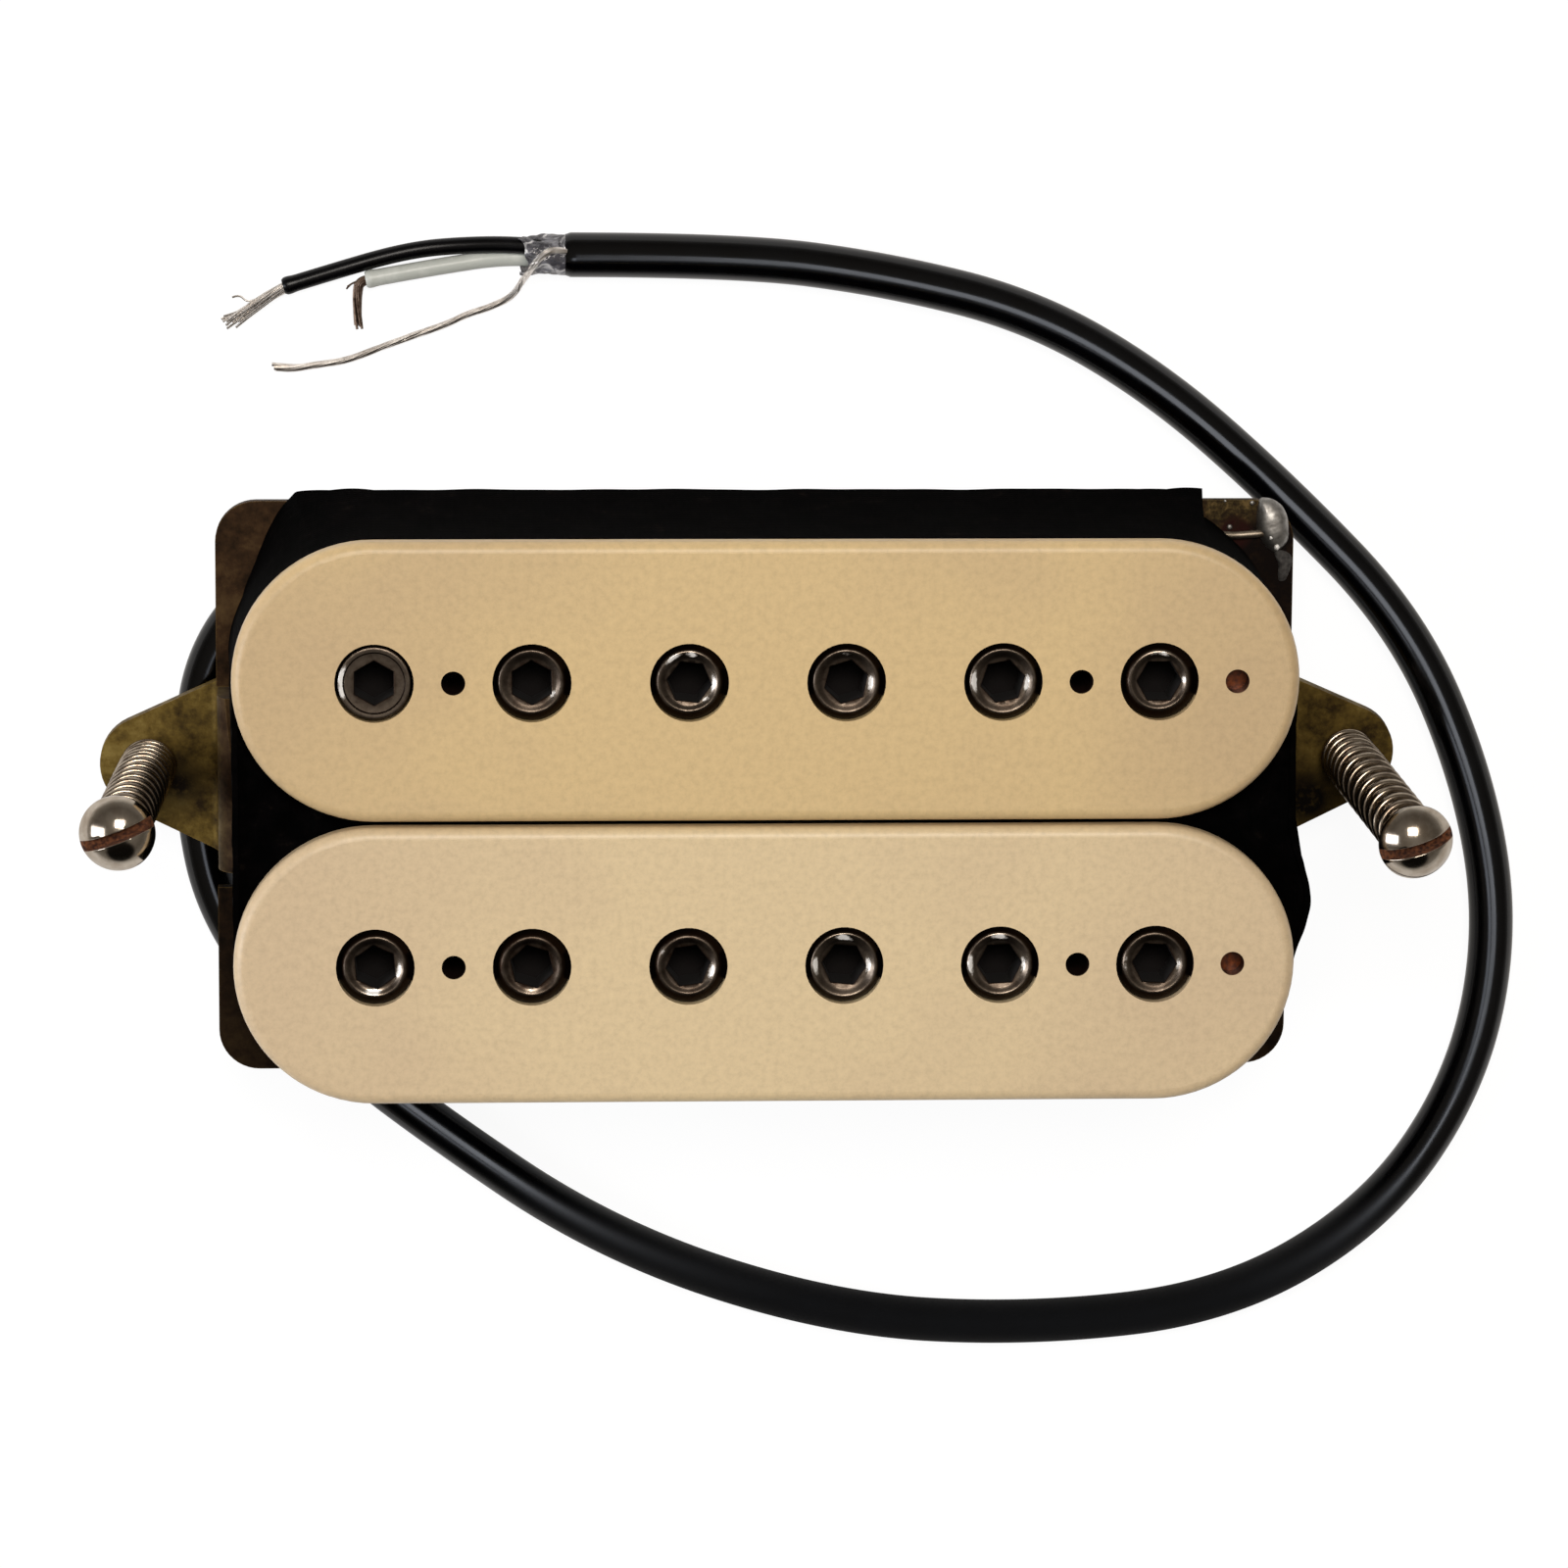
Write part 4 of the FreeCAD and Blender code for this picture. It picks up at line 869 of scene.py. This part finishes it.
def make_height_screw(side, slot_turn):
    """A domed head from chords, its side and underside as rings on the same rim, and a threaded shank."""
    radius, rim, height, base = 2.375, 0.35, 1.75, spring_room
    slot_half, slot_depth = 0.34, 0.95
    top = head_top(radius, rim, height, slot_half, height - slot_depth)
    ring = np.concatenate([top[:, -1], top[::-1, 0][1:-1]])[:, :2]
    wall = [(1.0, rim), (1.0, 0.12), (0.985, 0.03), (0.95, 0.0), (0.55, 0.0), (0.0, 0.0)]
    lower = np.stack([np.column_stack([ring * share, np.full(len(ring), z)]) for share, z in wall])
    turn = np.array(Matrix.Rotation(math.radians(slot_turn - 90), 4, "Z"))
    seat = screw_frame(side) @ np.array(Matrix.Translation((0, 0, base))) @ turn
    upper_points, upper_quads = surface(top, close_columns=False)
    lower_points, lower_quads = surface(lower)
    angle = np.linspace(0, 2 * np.pi, 48, endpoint=False)
    down = np.linspace(0.3, -screw_length, 290)[:, None] * np.ones_like(angle)
    shank = thread(down, angle[None, :], 1.25, 0.529, 0.27)
    shank = np.minimum(shank, 0.95 + (screw_length + down))
    shank = np.concatenate([0 * shank[:1], shank, 0 * shank[:1]])
    down = np.concatenate([down[:1], down, down[-1:]])
    rod = np.stack([shank * np.cos(angle), shank * np.sin(angle), down], axis=-1)
    rod_points, rod_quads = surface(rod)
    frame_of_rod = screw_frame(side) @ np.array(Matrix.Translation((0, 0, base)))
    shapes = [(placed(upper_points, seat), upper_quads), (placed(lower_points, seat), lower_quads),
              (placed(rod_points, frame_of_rod), rod_quads)]
    name = "slotted_screw_" + side
    rusty = np.where(np.abs(top[..., 0]) < 0.35, -1.0, 0.0).ravel()
    wear = np.concatenate([rusty, np.zeros(len(lower_points) + len(rod_points))])
    made = piece(name, shapes, "height_screw_" + side, finishes["nickel_plate"], 35, wear=wear)
    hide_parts("height_screw_" + side)


make_height_screw("left", 21)
make_height_screw("right", 17)

# %% [markdown]
# ## The springs
# Each spring has four close turns at the foot and ten open ones above. Its wire follows a helix whose climb
# per turn eases from the close pitch to the open one. The ring round the wire is built from the direction
# away from the axis and the direction square to both, so it never twists.

# %% Springs
def make_spring(side):
    """A helix of radius 1.6: height = 0.95 t + 0.454 e(t), and e eases in after the fourth turn."""
    turns, close, wire, room, close_pitch = 14, 4, 0.25, spring_room, 0.95
    base = wire + 0.02
    steep = (room - 2 * base - close_pitch * turns) / (turns - close - 0.5)
    t = np.linspace(0, turns, turns * 44 + 1)
    past = np.clip(t - close, 0, None)
    blend = np.minimum(past, 1)
    climb = close_pitch * t + steep * (blend ** 3 - blend ** 4 / 2 + np.clip(past - 1, 0, None))
    around = 2 * np.pi * t
    away = np.stack([np.cos(around), np.sin(around), 0 * t], axis=1)
    path = 1.6 * away + np.stack([0 * t, 0 * t, base + climb], axis=1)
    along = unit(np.gradient(path, axis=0))
    across = np.cross(along, away)
    angle = np.linspace(0, 2 * np.pi, 14, endpoint=False)[None, :, None]
    rings = path[:, None] + wire * (away[:, None] * np.cos(angle) + across[:, None] * np.sin(angle))
    points, quads = capped(rings, path[0], path[-1])
    seat = screw_frame(side)
    made = piece("wound_spring_" + side, [(placed(points, seat), quads)], "height_spring_" + side,
                 finishes["spring_steel"], 50)
    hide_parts("height_spring_" + side)
    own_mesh(made)


make_spring("left")
make_spring("right")

# %% [markdown]
# ## The tape round the coils
# The outer tape is wound round both bobbins, under their top flanges. Its foot splays out to the plate's
# edge, most of all at the back corners, and low down on the right it bulges over two splices. Its wall is
# the difference between two outlines, one at the foot and one at the top, as rows of one closed grid. Where
# it spans between the bobbins, a black sheet of tape sags in over each gap, each a grid of its own.

# %% Outer tape
end_x = 24.35
bobbin_radius = 8.75
splice_y = -5.15


def splice_bulge(y):
    """How far the tape stands out over the splices: 1.1 cos^2, gone 5 mm to either side of them."""
    near = np.clip(np.abs(y - splice_y) / 5.0, 0, 1)
    return 1.1 * np.cos(near * np.pi / 2) ** 2


def tape_outline(offset, foot):
    """A loop at an offset from the bobbins' ends, pushed out by foot times the reach of the tape's foot.

    Angle a runs round each corner's centre, at plus or minus (24.35, 8.93), from the end to the long side. The
    foot's reach in mm is tabled for each corner: a pleat at 62 degrees on the back left, and on the back right
    a step at 67 degrees, where the last layer ends.
    """
    reaches = {(1, 1): ([0, 55, 64, 66.5, 67.8, 80, 90], [0.2, 0.5, 0.6, 0.9, 2.23, 1.58, 1.42]),
               (-1, 1): ([0, 22, 32, 37, 44, 50, 56, 62, 64, 75, 90],
                         [0.45, 0.2, 0.4, 0.6, 1.0, 1.45, 1.9, 2.25, 2.4, 1.78, 1.42]),
               (-1, -1): ([0, 90], [0.15, 0.3]), (1, -1): ([0, 90], [0.2, 0.3])}
    quarter = np.linspace(0, np.pi / 2, 100)
    run = np.linspace(0, 1, 230)[1:-1, None]
    points, outward = [], []
    for k, (sx, sy) in enumerate(((1, 1), (-1, 1), (-1, -1), (1, -1))):
        a = quarter if k % 2 == 0 else quarter[::-1]
        way = np.stack([sx * np.cos(a), sy * np.sin(a)], axis=1)
        reach = bobbin_radius + offset + foot * np.interp(np.degrees(a), *reaches[sx, sy])
        points.append(np.array([sx * end_x, sy * row_y]) + way * reach[:, None])
        outward.append(way)
    loop, out = [], []
    for k in range(4):
        following = points[(k + 1) % 4][0]
        loop += [points[k], points[k][-1] + (following - points[k][-1]) * run]
        out += [outward[k], np.repeat(outward[k][-1:], len(run), axis=0)]
    loop, out = np.concatenate(loop), np.concatenate(out)
    bulge = splice_bulge(loop[:, 1]) * (loop[:, 0] > 20)
    return loop + out * bulge[:, None]


def make_outer_tape():
    """A band from the foot to the top flange: its face runs from the splayed outline in to the top one."""
    foot, top, inner = tape_outline(0.05, 1.0), tape_outline(0.02, 0.0), tape_outline(-0.35, 0.0)
    around = np.linspace(0, 2 * np.pi, len(foot), endpoint=False)
    share = np.array([0, 0.02, 0.06, 0.12, 0.2, 0.3, 0.42, 0.55, 0.7, 0.84, 0.94, 0.985, 1.0])[:, None]
    ease = (1 - share) ** 1.7
    ripple = (0.02 * np.sin(23 * around + 4 * share) + 0.015 * np.sin(41 * around - 7 * share)
              + 0.01 * np.sin(67 * around + 11 * share ** 2))
    out = unit(np.column_stack([np.sign(foot[:, 0]) * np.clip(np.abs(foot[:, 0]) - end_x, 0, None),
                                np.sign(foot[:, 1]) * np.clip(np.abs(foot[:, 1]) - row_y, 0, None)]) + 1e-9)
    belly = 0.06 * np.sin(np.pi * share) + ripple
    low = 1.1 + 0.05 * np.sin(9 * around) + 0.03 * np.sin(31 * around)
    high = 13.4 + 0.03 * np.sin(7 * around + 1) + 0.02 * np.sin(37 * around)
    height = low + (high - low) * share
    face = foot[None] * ease[..., None] + top[None] * (1 - ease[..., None]) + out[None] * belly[..., None]
    face = np.concatenate([face, height[..., None]], axis=-1)
    back = np.concatenate([np.repeat(inner[None], len(share), axis=0), height[::-1][..., None]], axis=-1)
    return surface(np.concatenate([face, back]), close_rows=True)


def waist_fold(side):
    """A sheet of tape over the gap between the bobbins: rows from the wall inwards, sagging, 0.4 thick."""
    coil_reach = 8.15
    turn = np.linspace(0.12, np.pi / 2, 40)
    x = np.concatenate([end_x + coil_reach * np.sin(turn), [32.7, 32.95]])
    half = np.concatenate([row_y - coil_reach * np.cos(turn), [row_y, row_y]])
    across = np.linspace(-1, 1, 61)
    y = half[:, None] * across
    depth = (x.max() - x)[:, None] / 8
    sag = 0.9 * np.clip(depth, 0, 1) ** 0.7 + 0.25 * np.cos(across * np.pi / 2) ** 2
    crease = 0.08 * np.sin(2.1 * x[:, None] + 1.7 * y) + 0.05 * np.sin(4.3 * y - 2.2 * x[:, None])
    z = 13.2 - sag + crease
    wall = np.clip((x - 32.3) / 0.65, 0, 1)[:, None]
    bulge = splice_bulge(y) * wall * (side > 0)
    upper = np.stack([side * (x[:, None] + bulge), y, z], axis=-1)
    lower = upper - np.array([0, 0, 0.4])
    sheet = np.concatenate([upper, lower[:, ::-1]], axis=1)
    return capped(sheet, sheet[0].mean(axis=0), sheet[-1].mean(axis=0))


wound_tape = piece("wound_tape", [make_outer_tape(), waist_fold(1), waist_fold(-1)], "pickup",
                   finishes["black_tape"], 60)
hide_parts("outer_tape")

# %% [markdown]
# ## Solder
# A drop of solder that has run and set has a steep shoulder, a thin foot and a few dimples. Each drop is a
# polar grid: its outline's radius wavers with the angle, and its height is a rounded cap over it.

# %% Solder at the corner
def pool(outline, height, seed, lift=0.0):
    """A cap of set metal over a closed outline: height (1 - s^2.6)^0.6, plus ridges that fade at its rim."""
    random = np.random.default_rng(seed)
    corners = np.array(outline, float)
    place = np.arange(len(corners) + 1)
    at = np.linspace(0, len(corners), 96, endpoint=False)
    rim = np.column_stack([np.interp(at, place, np.append(corners[:, k], corners[0, k])) for k in (0, 1)])
    for _ in range(6):
        rim = (np.roll(rim, 1, axis=0) + rim + np.roll(rim, -1, axis=0)) / 3
    middle = rim.mean(axis=0)
    s = np.linspace(0, 1, 40)[:, None, None]
    flat = middle + s * (rim - middle)
    z = height * (1 - s[..., 0] ** 2.6) ** 0.6 * np.ones(len(rim))
    for size in (0.9, 0.5, 0.28):
        way = random.normal(0, 1, 2)
        wave = np.sin(2 * np.pi * (flat @ (way / np.linalg.norm(way))) / size + random.uniform(0, 6.28))
        z = z + 0.004 * size * wave * (1 - s[..., 0] ** 4)
    cap = np.concatenate([flat, plate_top + lift + z[..., None]], axis=-1)
    base = cap[::-1].copy()
    base[..., 2] = plate_top - 0.01
    return surface(np.concatenate([cap, base]))


def spot(x, y, radius):
    """The outline of a small round splash."""
    return [(x + radius * math.cos(a), y + radius * math.sin(a)) for a in np.linspace(0, 2 * np.pi, 12)[:-1]]


def make_solder():
    """A band round the plate's corner, a lump and a dull tail below it, and splashes on the bare patch."""
    band = [(32.2, 18.6), (33.0, 18.5), (33.65, 18.05), (34.0, 17.35), (34.1, 16.5), (34.1, 15.8), (33.7, 15.3),
            (33.15, 14.95), (32.65, 15.35), (32.3, 15.85), (32.0, 16.3), (31.95, 17.2), (32.05, 18.1)]
    lump = [(33.2, 15.2), (33.8, 15.15), (34.25, 14.9), (34.38, 14.4), (34.2, 13.8), (33.95, 13.2),
            (33.55, 13.1),
            (33.4, 13.6), (33.5, 14.2), (33.2, 14.8)]
    high_drop = [(32.55, 16.3), (32.95, 16.4), (33.2, 16.1), (33.1, 15.75), (32.7, 15.8)]
    low_drop = [(33.05, 15.65), (33.4, 15.7), (33.55, 15.4), (33.35, 15.1), (33.05, 15.25)]
    shapes = [pool(band, 0.7, 2), pool(lump, 0.3, 4), pool(low_drop, 0.62, 5),
              pool(high_drop, 0.66, 9),
              pool(spot(30.28, 16.65, 0.2), 0.12, 6), pool(spot(31.7, 18.2, 0.17), 0.1, 7),
              pool(spot(29.95, 18.32, 0.1), 0.08, 8)]
    # The tail is grimy, and the two small drops get a painted white glint
    grimy_tail, painted_glint = -0.9, 1.0
    marks = {1: grimy_tail, 2: painted_glint, 3: painted_glint}
    state = [np.full(len(points), marks.get(k, 0.0)) for k, (points, _) in enumerate(shapes)]
    made = piece("set_solder", shapes, "pickup", finishes["solder"], 50, wear=np.concatenate(state))
    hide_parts("ground_solder")


make_solder()

# %% [markdown]
# ## Floor and light
# The picture's background is plain white with no shadow to speak of. The floor gives most of that white
# itself, to the camera and to the metals that reflect it, and keeps a faint shadow. Metal shows what is
# round it, so the room matters too: dim and warm, pale low down and darkest at the front.

# %% Floor
def make_floor():
    """A large white square at the level that the lead lies on."""
    reach = 3.0
    mesh = bpy.data.meshes.new("floor")
    z = (floor_level - 0.02) * mm
    mesh.from_pydata([(-reach, -reach, z), (reach, -reach, z), (reach, reach, z), (-reach, reach, z)], [],
                     [(0, 1, 2, 3)])
    made = bpy.data.objects.new("floor", mesh)
    bpy.context.scene.collection.objects.link(made)
    paper, tree = new_finish("white paper")[:2]
    path = add(tree, "LightPath")
    seen = maths(tree, "MAXIMUM", path.outputs["Is Camera Ray"], path.outputs["Is Transmission Ray"])
    mirrored = maths(tree, "MULTIPLY", path.outputs["Is Glossy Ray"], 0.2)
    seen = maths(tree, "MAXIMUM", seen, mirrored)
    share = maths(tree, "MULTIPLY", seen, 0.88)
    matt = add(tree, "BsdfDiffuse", Color=linear("#f4f4f4"))
    glow = add(tree, "Emission", Color=(1, 1, 1, 1), Strength=1.06)
    close_finish(tree, add(tree, "MixShader", Fac=share, in_1=matt.outputs[0], in_2=glow.outputs[0]))
    made.data.materials.append(paper)


make_floor()


# %% [markdown]
# ## Lamps and room
# Two lamps put the two bright spots on each screw head and light all but the lead. Its highlight in the
# picture is much narrower than theirs would be, so two small strips light the lead alone.

# %% Lights
def lamp(name, place, power, sizes, colour, lead_state):
    """A rectangular light at a place in metres, facing the pickup. It lights only the lead, or all but it."""
    data = bpy.data.lights.new(name, "AREA")
    data.energy = power
    data.shape = "RECTANGLE"
    data.size, data.size_y = sizes
    data.color = linear(colour)[:3]
    made = bpy.data.objects.new(name, data)
    away = np.array(place, float)
    made.matrix_world = Matrix.Translation(place) @ (
        Matrix(np.column_stack([*frame_of(away)]).tolist()).to_4x4())
    bpy.context.scene.collection.objects.link(made)
    reached = bpy.data.collections.new(name + " reaches")
    reached.objects.link(lead)
    reached.collection_objects[0].light_linking.link_state = lead_state
    made.light_linking.receiver_collection = reached


def frame_of(away):
    """Three directions for a lamp: two across, and one along away, which a lamp shines against."""
    back = away / np.linalg.norm(away)
    side = np.cross([0, 1.0, 0.01], back)
    side /= np.linalg.norm(side)
    return side, np.cross(back, side), back


lamp("panel_above", (0.0, 0.27, 0.68), 3.3, (0.3, 0.24), "#fff8f0", "EXCLUDE")
lamp("window_left", (-0.58, -0.03, 0.36), 2.5, (0.44, 0.26), "#f4f7ff", "EXCLUDE")
lamp("strip_for_the_lead", (0.1, -0.02, 0.41), 0.5, (0.17, 0.17), "#eef4ff", "INCLUDE")
lamp("strip_at_the_left", (-0.06, -0.11, 0.41), 0.12, (0.1, 0.1), "#e8f0ff", "INCLUDE")


def make_world():
    """A dim warm room. It is darkest where someone stands at the front, and the white table lights it low down."""
    world = bpy.data.worlds.new("room")
    world.use_nodes = True
    bpy.context.scene.world = world
    tree = world.node_tree
    tree.nodes.clear()
    way = add(tree, "TexCoord").outputs["Generated"]
    parts = add(tree, "SeparateXYZ", Vector=way)
    ramp = graded(tree, parts.outputs["Z"],
                  [(0.0, "#d8d6d2"), (0.1, "#8b8782"), (0.4, "#67625c"), (1.0, "#8a847d")])
    front = add(tree, "VectorMath", {"operation": "DISTANCE"}, in_0=way, in_1=(0.06, -0.82, 0.56))
    shade = remap(tree, front.outputs["Value"], 0.48, 0.6, 0.04, 1.0)
    dim = add(tree, "VectorMath", {"operation": "SCALE"}, in_0=ramp, Scale=shade)
    path = add(tree, "LightPath")
    colour = mix(tree, path.outputs["Is Camera Ray"], dim.outputs["Vector"], linear("#ffffff"))
    light = add(tree, "Background", Color=colour, Strength=1.0)
    add(tree, "OutputWorld", Surface=light.outputs[0])


make_world()
bpy.context.scene.view_settings.view_transform = "Standard"
